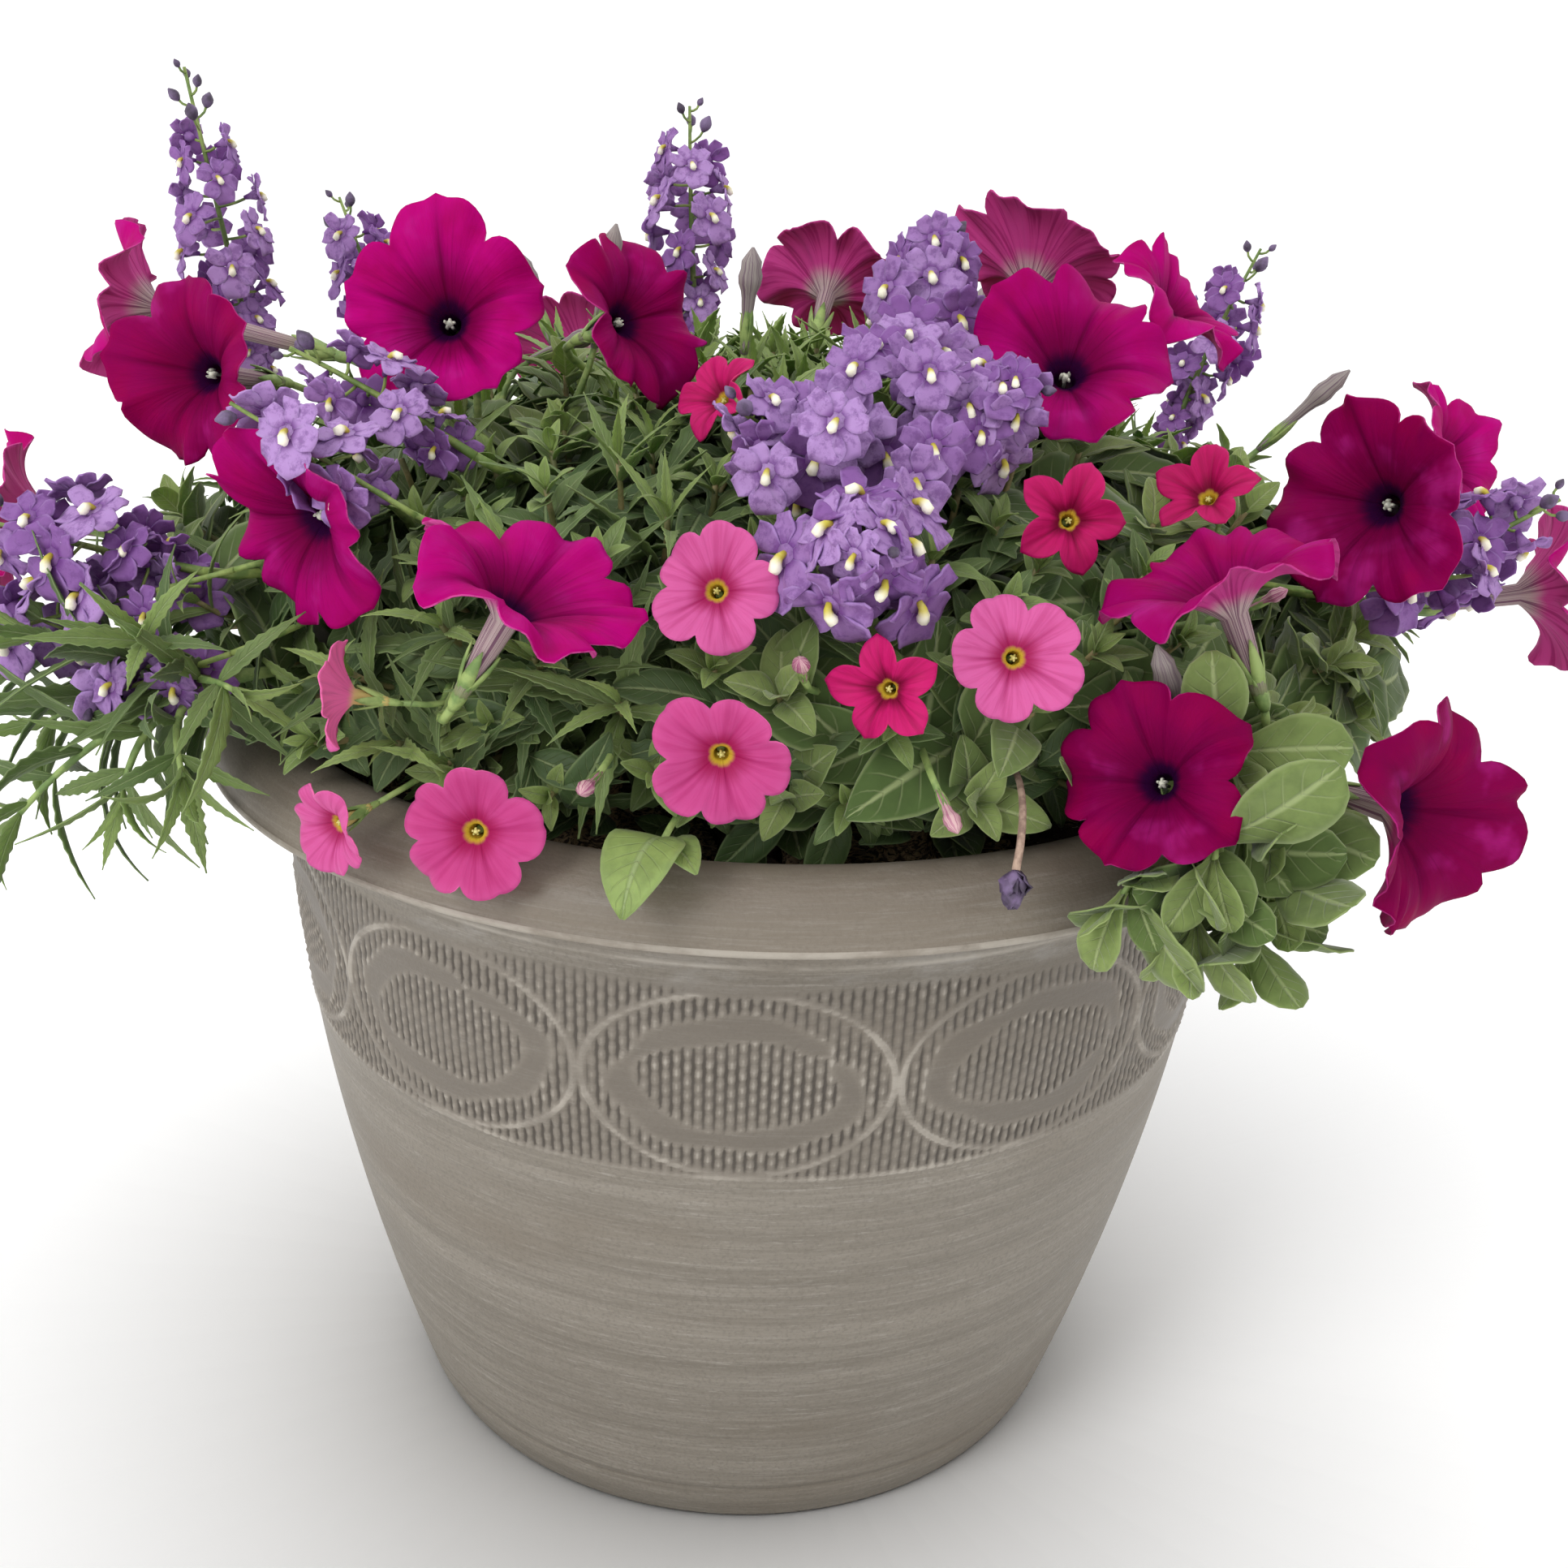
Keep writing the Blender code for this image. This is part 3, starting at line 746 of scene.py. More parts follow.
def ring_of(radius, height, count):
    """Points of one level of the pot."""
    turn = turns(count)
    radius = np.broadcast_to(radius, (count,))
    return np.column_stack([radius * np.sin(turn), -radius * np.cos(turn), np.full(count, height)])


def painted_line_light(radius, height):
    """How light a plain level is painted: a painted highlight on the bead under the rim, and a fainter light
    line in the cove.
    """
    if abs(height - COVE_LINE_HEIGHT) < 0.0009 and radius > NECK_RADIUS - 0.001:
        return 0.4
    # Painted highlight along the bead under the rim.
    if abs(height - RIM_LINE_HEIGHT) < 0.0009 and radius > RIM_RADIUS - 0.0004:
        return 0.9
    return 0.0


def pot_profile():
    """Every level of the turned shell: its radius, its height, and whether it is fine.

    It runs from the foot up the outside, over the rim, down the inside and under the floor.
    """
    crest = RIM_RADIUS - RIM_BAND
    levels = [(body_radius(z), z, False) for z in np.linspace(0.0185, BAND_BOTTOM, 22)[:-1]]
    line = [(body_radius(z) - d, z, False) for z, d in ((0.015, 0), (0.0158, 0.0006), (0.0166, 0.0))]
    foot_turn = [(FOOT_RADIUS + FOOT_ROUND * math.sin(a) + 0.0001, FOOT_ROUND * (1 - math.cos(a)), False)
                 for a in np.radians((0, 30, 60, 85))]
    rise = [(body_radius(z), z, False) for z in (0.006, 0.010, 0.0135)]
    band = [(body_radius(z), z, True) for z in np.linspace(BAND_BOTTOM, BAND_TOP, BAND_ROWS)]
    cove_height = RIM_BEAD_HEIGHT - RIM_BEAD - NECK_HEIGHT
    cove = arc((RIM_RADIUS, NECK_HEIGHT), NECK_RADIUS - RIM_RADIUS, cove_height, 2, 84, 16)
    cove = [(r + COVE_LINE * bell(z - COVE_LINE_HEIGHT, COVE_LINE), z, False)
            for r, z in cove if z > BAND_TOP + 0.0004]
    bead = arc((RIM_RADIUS - 0.0006, RIM_LINE_HEIGHT), RIM_LINE, RIM_LINE, -95, 60, 7)
    roll = arc((crest, RIM_BEAD_HEIGHT), RIM_BAND - 0.0006, POT_HEIGHT - RIM_BEAD_HEIGHT, 4, 90, 14)
    lip = arc((crest, POT_HEIGHT - LIP_DROP), LIP_WIDTH, LIP_DROP, 96, 180, 9)
    inner = [(body_radius(z) - WALL, z) for z in np.linspace(NECK_HEIGHT + 0.02, FLOOR_TOP + 0.002, 14)]
    floor = [(body_radius(FLOOR_TOP) - WALL - 0.0015, FLOOR_TOP + 0.0004), (RECESS_RADIUS - 0.006, FLOOR_TOP)]
    under = [(RECESS_RADIUS - 0.006, FOOT_RECESS), (RECESS_RADIUS - FOOT_RECESS, FOOT_RECESS)]
    under += [(RECESS_RADIUS, 0.0006), (RECESS_RADIUS + 0.0006, 0)]
    rest = [(r, z, False) for r, z in bead + roll + lip + inner + floor + under]
    return foot_turn + rise + line + levels + band + cove + rest


def make_pot():
    """The pot's wall, rim and foot as one closed turned shell, finer where the band is moulded."""
    points, forms, rings, count = [], [], [], 0
    for radius, height, is_fine in pot_profile():
        number = COARSE * FINE if is_fine else COARSE
        relief = np.zeros(number)
        # Plain levels are painted light only on their thin lines, with a painted highlight on the bead under
        # the rim.
        shade = np.full(number, painted_line_light(radius, height))
        if is_fine:
            wrapped = np.mod(turns(number) + math.pi, 2 * math.pi) - math.pi
            relief = band_relief(wrapped, np.full(number, height))
            shade = relief / WEAVE_DEPTH
        points.append(ring_of(radius + relief, height, number))
        forms.append(np.column_stack([shade, np.full(number, height / POT_HEIGHT), np.full(number, 0.5)]))
        rings.append((count + np.arange(number), is_fine))
        count += number
    quads, joins = [], []
    for (low, low_fine), (high, high_fine) in zip(rings, rings[1:] + rings[:1]):
        if low_fine == high_fine:
            quads.append(np.stack([low, np.roll(low, -1), np.roll(high, -1), high], axis=-1))
        else:
            few, many = (low, high) if high_fine else (high, low)
            start = np.arange(COARSE)
            run = [many[(start * FINE + i) % len(many)] for i in range(FINE + 1)]
            ends = [few[(start + 1) % COARSE], few[start]]
            corner = np.stack(run + ends, axis=-1)
            joins.append(corner[:, ::-1] if high_fine else corner)
    shape = Shape()
    points = np.concatenate(points)
    faces = quads + joins
    shape.add(points, np.concatenate(forms), np.zeros_like(points), faces, [0] * len(faces))
    shape.add(*pot_floor())
    return shape


def pot_floor():
    """The floor inside the foot ring: a closed plate with four drainage holes and a flat boss under it.

    A narrow rim of faces beside each edge keeps the wide flat faces shaded flat. The plate lies a little
    inside the foot's own faces.
    """
    top, low, rim, sides = FLOOR_TOP - 0.0003, FOOT_RECESS + 0.0003, 0.0006, 60
    points, faces = [], []

    def ring(centre, radius, height):
        """Add a circle of points, and say which they are."""
        points.append(ring_of(radius, height, sides) + centre)
        return np.arange(sides) + sides * (len(points) - 1)

    def strip(inner, outer, upward):
        """Faces between two circles."""
        quads = np.stack([inner, outer, np.roll(outer, -1), np.roll(inner, -1)], axis=-1)
        faces.append(quads if upward else quads[:, ::-1])

    def flat(rings, upward):
        """Faces that fill the first circle and leave the others open."""
        index = np.concatenate(rings)
        corners = np.concatenate(points)[index]
        loops = [[Vector(corner) for corner in loop] for loop in np.split(corners, len(rings))]
        cells = np.array(tessellate_polygon(loops))
        a, b, c = (corners[cells[:, k]] for k in range(3))
        wrong = (np.cross(b - a, c - a)[:, 2] > 0) != upward
        cells[wrong] = cells[wrong][:, ::-1]
        faces.append(index[cells])

    centre = np.zeros(3)
    high_rings, low_rings = [], []
    edges = [(centre, RECESS_RADIUS - 0.005, -rim)]
    edges += [(ring_point(45 + 90 * i, DRAIN_REACH, 0), DRAIN_RADIUS, rim) for i in range(4)]
    for middle, radius, aside in edges:
        is_hole = aside > 0
        high_edge, low_edge = ring(middle, radius, top), ring(middle, radius, low)
        high_rings.append(ring(middle, radius + aside, top))
        low_rings.append(ring(middle, radius + aside, low))
        strip(high_edge, low_edge, not is_hole)
        for inner, outer, upward in ((high_edge, high_rings[-1], True), (low_edge, low_rings[-1], False)):
            strip(*((inner, outer) if is_hole else (outer, inner)), upward)
    slope = BOSS_RADIUS + FOOT_RECESS
    profile = ((slope + rim, low), (slope, low), (BOSS_RADIUS, 0), (BOSS_RADIUS - rim, 0))
    steps = [ring(centre, *step) for step in profile]
    for outer, inner in zip(steps, steps[1:]):
        strip(inner, outer, False)
    flat(high_rings, True)
    flat(low_rings + steps[:1], False)
    faces.append(steps[-1][None, ::-1])
    points = np.concatenate(points)
    forms = stacked(0.0, points[:, 2] / POT_HEIGHT, 0.5)
    return points, forms, np.zeros_like(points), faces, [0] * len(faces)


pot = make_pot().build("pot", [pot_material()])
place_piece(pot, "pot", "pot_resin", "pot_shell")


# ---------------------------------------------------------------- soil and roots


def copied(node, name, voxel, material):
    """A fine remeshed copy of a CAD node, for its surface to be roughened."""
    item = bpy.data.objects.new(name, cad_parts[node].data.copy())
    bpy.context.scene.collection.objects.link(item)
    remesh = item.modifiers.new("remesh", "REMESH")
    remesh.mode = "VOXEL"
    remesh.voxel_size = voxel
    softer = item.modifiers.new("smooth", "SMOOTH")
    softer.factor = 0.5
    softer.iterations = 6
    view = bpy.context.evaluated_depsgraph_get()
    mesh = bpy.data.meshes.new_from_object(item.evaluated_get(view))
    old = item.data
    item.modifiers.clear()
    item.data = mesh
    bpy.data.meshes.remove(old)
    mesh.name = name
    mesh.materials.clear()
    mesh.materials.append(material)
    mesh.polygons.foreach_set("use_smooth", np.ones(len(mesh.polygons), bool))
    return item


def lumps(points, scale, seed):
    """Smooth repeatable unevenness between -1 and 1."""
    rng = np.random.default_rng(seed)
    total = np.zeros(len(points))
    for octave in range(4):
        for _ in range(5):
            way = unit(rng.normal(size=3)) * scale * 2**octave
            total += np.sin(points @ way + rng.uniform(0, ROUND)) / 2**octave
    return total / 5.5


def roughen(item, depth, scale, seed):
    """Wear the surface inwards by up to depth."""
    mesh = item.data
    points = np.zeros(len(mesh.vertices) * 3)
    mesh.vertices.foreach_get("co", points)
    normals = np.zeros(len(mesh.vertices) * 3)
    mesh.vertex_normals.foreach_get("vector", normals)
    points, normals = points.reshape(-1, 3), normals.reshape(-1, 3)
    wear = np.clip(0.5 + 0.5 * lumps(points, scale, seed), 0, 1)
    points = points - normals * (wear * depth)[:, None]
    mesh.vertices.foreach_set("co", points.ravel())
    mesh.update()


soil = copied("potting_mix", "soil", 0.0026, soil_material())
roughen(soil, 0.0022, 260.0, 5)
place_piece(soil, "planting", "potting_mix", "potting_mix")

ROOTS = root_material()


def make_root_ball(plant, seed):
    """A plug of matted roots, with fine roots wound round its side."""
    node = f"{plant}_root_ball"
    plug = copied(node, f"{plant}_roots", 0.0016, ROOTS)
    roughen(plug, 0.0012, 500.0, seed)
    place_piece(plug, "planting", "root_ball", node)


for number, plant in enumerate(PLANTS):
    make_root_ball(plant, 20 + number)


def make_crumbs():
    """Loose crumbs and bark on top of the mix."""
    rng = np.random.default_rng(77)
    shape = Shape()
    for _ in range(420):
        turn, reach = rng.uniform(0, 360), 0.132 * math.sqrt(rng.uniform())
        place = ring_point(turn, reach, SOIL_TOP - 0.0012)
        size = rng.uniform(0.0012, 0.0032)
        way = unit(rng.normal(size=3) * (1, 1, 0.4))
        path = place + np.outer(np.linspace(-1, 1, 4) * size, way)
        radii = size * np.array([0.25, 0.75, 0.7, 0.2]) * rng.uniform(0.5, 0.9)
        shape.tube(path, radii, 5, 0, rng.uniform(), rng.uniform(0.5, 1.0))
    return shape


place_piece(make_crumbs().build("soil_crumbs", [soil.data.materials[0]]), "planting", "potting_mix")


# ---------------------------------------------------------------- flowers read from the CAD


def corners_of(node):
    """The points of a CAD node's mesh."""
    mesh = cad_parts[node].data
    points = np.zeros(len(mesh.vertices) * 3)
    mesh.vertices.foreach_get("co", points)
    return points.reshape(-1, 3)


def bloom_frame(node):
    """Centre, facing, radius and depth of a funnel flower, read from its round face."""
    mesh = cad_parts[node].data
    normals = np.array([face.normal[:] for face in mesh.polygons])
    areas = np.array([face.area for face in mesh.polygons])
    alike = normals @ normals.T > 0.9998
    best = int(np.argmax(alike @ areas))
    facing = unit((normals[alike[best]] * areas[alike[best]][:, None]).sum(axis=0))
    points = corners_of(node)
    reach = points @ facing
    face = points[reach > reach.max() - 1e-5]
    centre = (face.min(axis=0) + face.max(axis=0)) / 2
    centre = face.mean(axis=0) if len(face) % 12 == 0 else centre
    radius = np.linalg.norm(face - centre, axis=1).max()
    return centre, facing, radius, reach.max() - reach.min()


def spike_frame(node):
    """Base, tip and widest radius of a flower spike, and the share of its length where it is widest."""
    points = corners_of(node)
    middle = points.mean(axis=0)
    _, _, ways = np.linalg.svd(points - middle)
    axis = unit(ways[0])
    reach = (points - middle) @ axis
    off = np.linalg.norm(points - middle - np.outer(reach, axis), axis=1)
    low, high = reach.min(), reach.max()
    if off[reach < low + 1e-4].max() > off[reach > high - 1e-4].max():
        axis, reach, low, high = -axis, -reach, -high, -low
    widest = (reach[off.argmax()] - low) / (high - low)
    return middle + axis * low, middle + axis * high, off.max(), widest


BLOOM_NODES = sorted(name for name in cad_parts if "_bloom_" in name)
SPIKE_NODES = sorted(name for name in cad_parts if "_spike_" in name)
BLOOM_FRAMES = {name: bloom_frame(name) for name in BLOOM_NODES}
SPIKE_FRAMES = {name: spike_frame(name) for name in SPIKE_NODES}

# Flowers whose mouths turn a little from their CAD cone's axis: azimuth and rise that they face.
TURNED = {
    "petunia_right_bloom_1": (-50, 12),
    "petunia_right_bloom_4": (-38, 26),
    "petunia_right_bloom_5": (42, 2),
    "petunia_left_bloom_1": (-92, 12),
    "petunia_left_bloom_2": (-25, 12),
    "petunia_left_bloom_4": (-32, -10),
    "petunia_left_bloom_5": (80, 60),
    "petunia_back_bloom_1": (52, 22),
}


def flower_facing(node):
    """The way that a flower's mouth faces."""
    return direction(*TURNED[node]) if node in TURNED else BLOOM_FRAMES[node][1]


# Shares of a funnel flower's radius, and how sharply its edge and its throat turn.
FUNNELS = {
    "petunia": {
        "notch": 0.24, "power": 4.6, "cusp": 0.05, "depth": 0.46, "throat": 0.115, "steep": 2.2,
        "wave": 0.105, "fold": 0.11, "curl": (-0.42, 0.18), "sway": 0.12, "thick": 0.0004,
    },
    "star": {
        "notch": 0.44, "power": 1.8, "cusp": 0.05, "depth": 0.38, "throat": 0.13, "steep": 1.9,
        "wave": 0.05, "fold": 0.08, "curl": (-0.32, 0.05), "sway": 0.10, "thick": 0.00035,
    },
    "calibrachoa": {
        "notch": 0.26, "power": 3.6, "cusp": -0.03, "depth": 0.40, "throat": 0.12, "steep": 1.8,
        "wave": 0.045, "fold": 0.10, "curl": (-0.34, 0.10), "sway": 0.13, "thick": 0.00035,
    },
}


# How light a petunia is painted, where it is not left to chance: the low values are painted shade for blooms
# that sit in shadow.
PETUNIA_PAINTED_SHADE = {
    "petunia_right_bloom_1": 0.20,
    "petunia_right_bloom_3": 0.50,
    "petunia_right_bloom_4": 0.05,
    "petunia_right_bloom_5": 0.0,
    "petunia_left_bloom_2": 0.25,
    "petunia_left_bloom_4": 0.55,
    "petunia_back_bloom_1": 0.35,
}


def funnel(shape, rng, radius, depth, look, shade, rings, around):
    """One fused five-lobed funnel with its tube, facing local +Z, its edge near the origin's plane."""
    tube_rings = 8
    turn = turns(around)
    start = rng.uniform(0, 2 * math.pi / 5)
    lobe_turn = (turn / (2 * math.pi / 5)) % 1.0
    number = np.floor(turn / (2 * math.pi / 5)).astype(int) % 5
    inside = lobe_turn * 2 - 1
    side = np.abs(inside)
    swell = 1 + rng.uniform(-0.11, 0.03, 5)[number] * (1 - side**2)
    swell = swell * (1 + look["sway"] * 0.35 * np.sin(turn * 2 + rng.uniform(0, ROUND)))
    edge = radius * swell * (1 - look["notch"] * side ** look["power"] + look["cusp"] * bell(inside, 0.10))
    curl = rng.uniform(*look["curl"], 5)[number] * (0.5 + 0.5 * np.cos(math.pi * inside))
    phase = rng.uniform(0, ROUND, 4)
    wave = 0.5 * np.sin(turn * 7 + phase[0]) + 0.35 * np.sin(turn * 12 + phase[1])
    wave = wave + 0.22 * np.sin(turn * 19 + phase[2])
    sway = look["sway"] * np.sin(turn * 2 + phase[3])
    throat = radius * look["throat"]
    bottom = radius * look["depth"]
    share = np.linspace(0, 1, rings)[:, None]
    reach = throat + (edge[None, :] - throat) * share
    fall = -bottom * (1 - share) ** look["steep"]
    fall = fall + radius * (curl * share**2.6 + look["wave"] * wave * share**2.4 + sway * share**2)
    fall = fall - radius * look["fold"] * bell(inside, 0.16) * share * (1.25 - share)
    fall = fall - radius * look["fold"] * 0.9 * bell(side - 1, 0.18) * share * (1.4 - share)
    tube_share = np.linspace(0, 1, tube_rings, endpoint=False)[:, None]
    tube_length = max(depth - bottom, radius * 0.25)
    tube_reach = throat * (0.42 + 0.58 * tube_share**0.7) * np.ones((1, around))
    tube_fall = -bottom - tube_length * (1 - tube_share) * np.ones((1, around))
    reach = np.concatenate([tube_reach, reach])
    fall = np.concatenate([tube_fall, fall])
    angle = turn[None, :] + start
    grid = stacked(reach * np.cos(angle), reach * np.sin(angle), fall)
    along = np.concatenate([tube_share * 0.25, 0.25 + 0.75 * share])
    forms = stacked(side[None, :], along, shade)
    rays = stacked(np.cos(turn)[None, :], np.sin(turn)[None, :], along)
    shape.sheet(grid, forms, look["thick"], (0, 1), wrap=True, rays=rays)
    return bottom, tube_length, throat


def outline(kind, share):
    """Half the width of a leaf along its length, at most one."""
    if kind == "ovate":
        body = np.sin(math.pi * share**0.82) ** 0.72
        return np.maximum(body * smooth(share, 0.05, 0.30) ** 0.6, 0.07)
    if kind == "small":
        body = np.sin(math.pi * share**0.9) ** 0.8
        return np.maximum(body * smooth(share, 0.0, 0.2) ** 0.5, 0.09)
    if kind == "spoon":
        blade = np.sqrt(np.clip(1 - ((share - 0.64) / 0.365) ** 2, 0.01, 1))
        return np.where(share > 0.64, blade, 0.20 + 0.80 * smooth(share, 0.0, 0.64))
    if kind == "strap":
        return np.maximum(np.sin(math.pi * (0.12 + 0.88 * share) ** 0.9) ** 0.7, 0.08)
    body = np.sin(math.pi * share**0.72) * (1 - share) ** 0.18
    toothed = (share > 0.2) * (share < 0.95)
    teeth = 1 + 0.13 * np.where(np.arange(len(share)) % 2 == 0, 1, -1)[:, None] * toothed
    return np.maximum(body * teeth, 0.06)


def leaf_shape(length, width, kind, rise, curl, fold, wave, rows, cols, phase=0.0):
    """One leaf along +Y, its upper side towards +Z. It starts at rise and bends by curl."""
    share = np.linspace(0, 1, rows)[:, None]
    half = width / 2 * outline(kind, share)
    bend = rise - curl * share[:, 0]
    step = length / (rows - 1)
    ahead = np.concatenate([[0], np.cumsum(np.cos(bend[:-1])) * step])
    above = np.concatenate([[0], np.cumsum(np.sin(bend[:-1])) * step])
    across = np.linspace(-1, 1, cols)[None, :]
    lift = fold * half * np.abs(across) ** 1.4
    ruffle = np.sin(share * 17 + np.sign(across) * 1.1 + phase)
    ripple = wave * width * ruffle * across**2 * (half / (width / 2))
    raised = lift + ripple
    x = half * across * (1 - 0.12 * fold)
    y = ahead[:, None] - raised * np.sin(bend)[:, None]
    z = above[:, None] + raised * np.cos(bend)[:, None]
    grid = stacked(x, y, z)
    forms = stacked(across, share, 0.5)
    shape = Shape()
    # Rows run along +Y and columns along +X, so the grid is mirrored for its front to face +Z.
    shape.sheet(grid[:, ::-1], forms[:, ::-1], LEAF_THICKNESS)
    return shape


def bundle(shape, place, facing, roll, count, part, out, slot=0, own=None, size=1.0):
    """Copies of a part set round an axis, each pointing out of it at an angle."""
    axes = axes_facing(facing, roll)
    for i in range(count):
        away = swing(axes[:, 0], axes[:, 1], i * 2 * math.pi / count)
        along = away * math.sin(out) + axes[:, 2] * math.cos(out)
        upper = axes[:, 2] * math.sin(out) - away * math.cos(out)
        shape.put(part, axes_for(along, upper), place, size, own, slot)


def stalk_into(shape, start, way, plant, radius, slot, length=0.05):
    """A stalk from behind a flower into the mound, towards the plant's crown."""
    azimuth, reach = PLANTS[plant]
    crown = ring_point(azimuth, reach * 0.9, MOUND_BOTTOM + 0.012)
    to_crown = crown - start
    end = start + unit(to_crown) * min(np.linalg.norm(to_crown), length)
    path = bezier(start, start + unit(way) * length * 0.35, end + UP * length * 0.2, end, 9)
    shape.tube(path, np.linspace(radius, radius * 1.3, 9), 6, slot)


PETUNIA_SEPAL = leaf_shape(0.016, 0.0034, "strap", 0.1, -0.5, 0.25, 0.0, 7, 3)
CALYX_SEPAL = leaf_shape(0.009, 0.0024, "strap", 0.1, -0.4, 0.25, 0.0, 7, 3)


def make_bloom(node, seed):
    """A funnel flower with its throat, sepals and stalk."""
    plant = node.rsplit("_bloom_", 1)[0]
    kind = plant.split("_")[0]
    rng = np.random.default_rng(seed)
    centre, _, radius, depth = BLOOM_FRAMES[node]
    facing = flower_facing(node)
    look = FUNNELS["star" if plant == "calibrachoa_rose" else kind]
    shape = Shape()
    is_petunia = kind == "petunia"
    rings, around = (22, 110) if is_petunia else (15, 80)
    # Listed petunias take a set lightness whose low values are painted shade; the rest vary at random.
    shade = PETUNIA_PAINTED_SHADE.get(node, rng.uniform(0.55, 0.95) if is_petunia else rng.uniform())
    mouth = radius * 1.02
    bottom, tube_length, throat = funnel(shape, rng, mouth, depth, look, shade, rings, around)
    pistil = np.outer((-1.35, -1.1, -0.93, -0.86), UP * bottom)
    shape.tube(pistil, throat * np.array([0.16, 0.14, 0.34, 0.18]), 8, 3, 0.7)
    for i in range(5):
        turn = i * 2 * math.pi / 5 + 0.3
        out = np.array([math.cos(turn), math.sin(turn), 0]) * throat * 0.42
        stamen = UP * bottom * rng.uniform(0.08, 0.22) - out * 0.25
        path = out - UP * bottom * 1.02 + np.outer(np.linspace(0, 1, 4), stamen)
        shape.tube(path, throat * np.array([0.08, 0.13, 0.15, 0.08]), 6, 4, 0.4)
    axes = axes_facing(facing, rng.uniform(-0.4, 0.4))
    shape.move(axes, centre)
    heel = centre - facing * (bottom + tube_length)
    sepal, long_tube = (PETUNIA_SEPAL, 0.016) if is_petunia else (CALYX_SEPAL, 0.009)
    short = max(0.0, 1 - tube_length / long_tube)
    roll, own = rng.uniform(0, 1.2), rng.uniform(0.2, 0.8)
    foot = heel - facing * 0.001 * short
    bundle(shape, foot, facing, roll, 5, sepal, 0.55 + short, 2, own, 1 - 0.45 * short)
    cup = throat * 0.62
    path = heel + np.outer(np.array([-0.003, -0.0015, 0.001, 0.004]), facing)
    shape.tube(path, np.array([0.5, 0.85, 1.0, 0.8]) * cup, 8, 2)
    stalk_into(shape, heel - facing * 0.002, -facing, plant, 0.0011 if is_petunia else 0.0007, 2)
    if is_petunia:
        materials, slot = [PETUNIA, PETUNIA_BACK, SEPAL, PALE_ANTHER, PALE_ANTHER], "petunia_petal"
    elif plant.endswith("pink"):
        materials, slot = [PINK, PINK_BACK, SEPAL, ANTHER, ANTHER], "pink_petal"
    else:
        materials, slot = [ROSE, ROSE_BACK, SEPAL, ANTHER, ANTHER], "rose_petal"
    plant_piece(shape, node.replace("_bloom_", "_flower_"), materials, slot, node)


for number, node in enumerate(BLOOM_NODES):
    make_bloom(node, 100 + number)


# ---------------------------------------------------------------- flower spikes


def petal(shape, turn, start, length, width, cup, lift):
    """A rounded petal of a spike flower, in the XY plane, turn measured from +X."""
    share = np.linspace(0, 1, 7)[:, None]
    across = np.linspace(-1, 1, 7)[None, :]
    oval = np.sqrt(np.clip(1 - ((share - 0.58) / 0.585) ** 2, 0.02, 1))
    half = width / 2 * oval * (0.45 + 0.55 * smooth(share, 0, 0.5))
    ruffle = 0.0007 * np.sin(share * 9 + turn * 5) * across * share
    reach = start + length * share
    out = half * across
    up = lift * share + cup * (share**2 - 0.3 * across**2 * share) + ruffle
    x = reach * math.cos(turn) - out * math.sin(turn)
    y = reach * math.sin(turn) + out * math.cos(turn)
    shape.sheet(stacked(x, y, up), stacked(across, share, 0.5), LEAF_THICKNESS)


def floret_shape(seed):
    """A two-lipped flower 17 mm across: four upper lobes, a broad lower lip and a cream tongue."""
    rng = np.random.default_rng(seed)
    shape = Shape()
    for turn, length in ((22, 0.0072), (66, 0.0066), (114, 0.0066), (158, 0.0072)):
        angle = math.radians(turn + rng.uniform(-9, 9))
        long = length * rng.uniform(0.85, 1.08)
        petal(shape, angle, 0.001, long, 0.0049, rng.uniform(-0.0036, 0.0022), rng.uniform(0.0000, 0.0026))
    for turn in (-146, -34):
        angle = math.radians(turn + rng.uniform(-8, 8))
        long = 0.0078 * rng.uniform(0.9, 1.06)
        petal(shape, angle, 0.001, long, 0.0064, rng.uniform(-0.0040, -0.0006), rng.uniform(0.0004, 0.0024))
    angle = math.radians(-90 + rng.uniform(-7, 7))
    petal(shape, angle, 0.0014, 0.0086, 0.0092, rng.uniform(-0.0045, -0.0015), 0.0012)
    tongue_y = (0.0004, -0.0004, -0.0015, -0.0027, -0.0032)
    tongue_z = (0.0004, 0.0015, 0.0020, 0.0018, 0.0011)
    shape.tube(stacked(0.0, tongue_y, tongue_z), (0.0006, 0.0008, 0.0011, 0.0013, 0.0006), 8, 1, 0.5)
    throat_y = (0.0004, 0.0002, 0.0, 0.0)
    throat_z = (-0.0052, -0.003, -0.001, 0.0004)
    shape.tube(stacked(0.0, throat_y, throat_z), (0.0007, 0.0012, 0.0020, 0.0022), 8, 0, 0.3)
    return shape


FLORETS = [floret_shape(seed) for seed in range(8)]


def bud_shape(length, radius):
    """A closed bud along +Z."""
    shape = Shape()
    path = np.outer(np.linspace(0, 1, 6) * length, (0, 0, 1.0))
    shape.tube(path, radius * np.array([0.3, 0.8, 1.0, 0.95, 0.6, 0.15]), 7, 0)
    return shape


SMALL_BUD = bud_shape(0.0046, 0.0017)

# The radius of a spike whose flowers have size one
SPIKE_RADIUS = 0.0135
SPIKES = {
    "nemesia": {
        "reach": 0.82, "pitch": 0.0021, "size": 0.96, "spread": 1.35,
        "first": 0.0, "bud": 0.92, "upright": 0.25, "front": 0.45,
    },
    "angelonia": {
        "reach": 1.0, "pitch": 0.0034, "size": 0.90, "spread": 1.45,
        "first": 0.04, "bud": 0.84, "upright": 0.2, "front": 0.1,
    },
}
SPRAY_MATERIALS = [LILAC, PALATE, STEM, LILAC_BUD]
# The share of a spike's length that its stem takes up
STEM_SHARE = 0.985


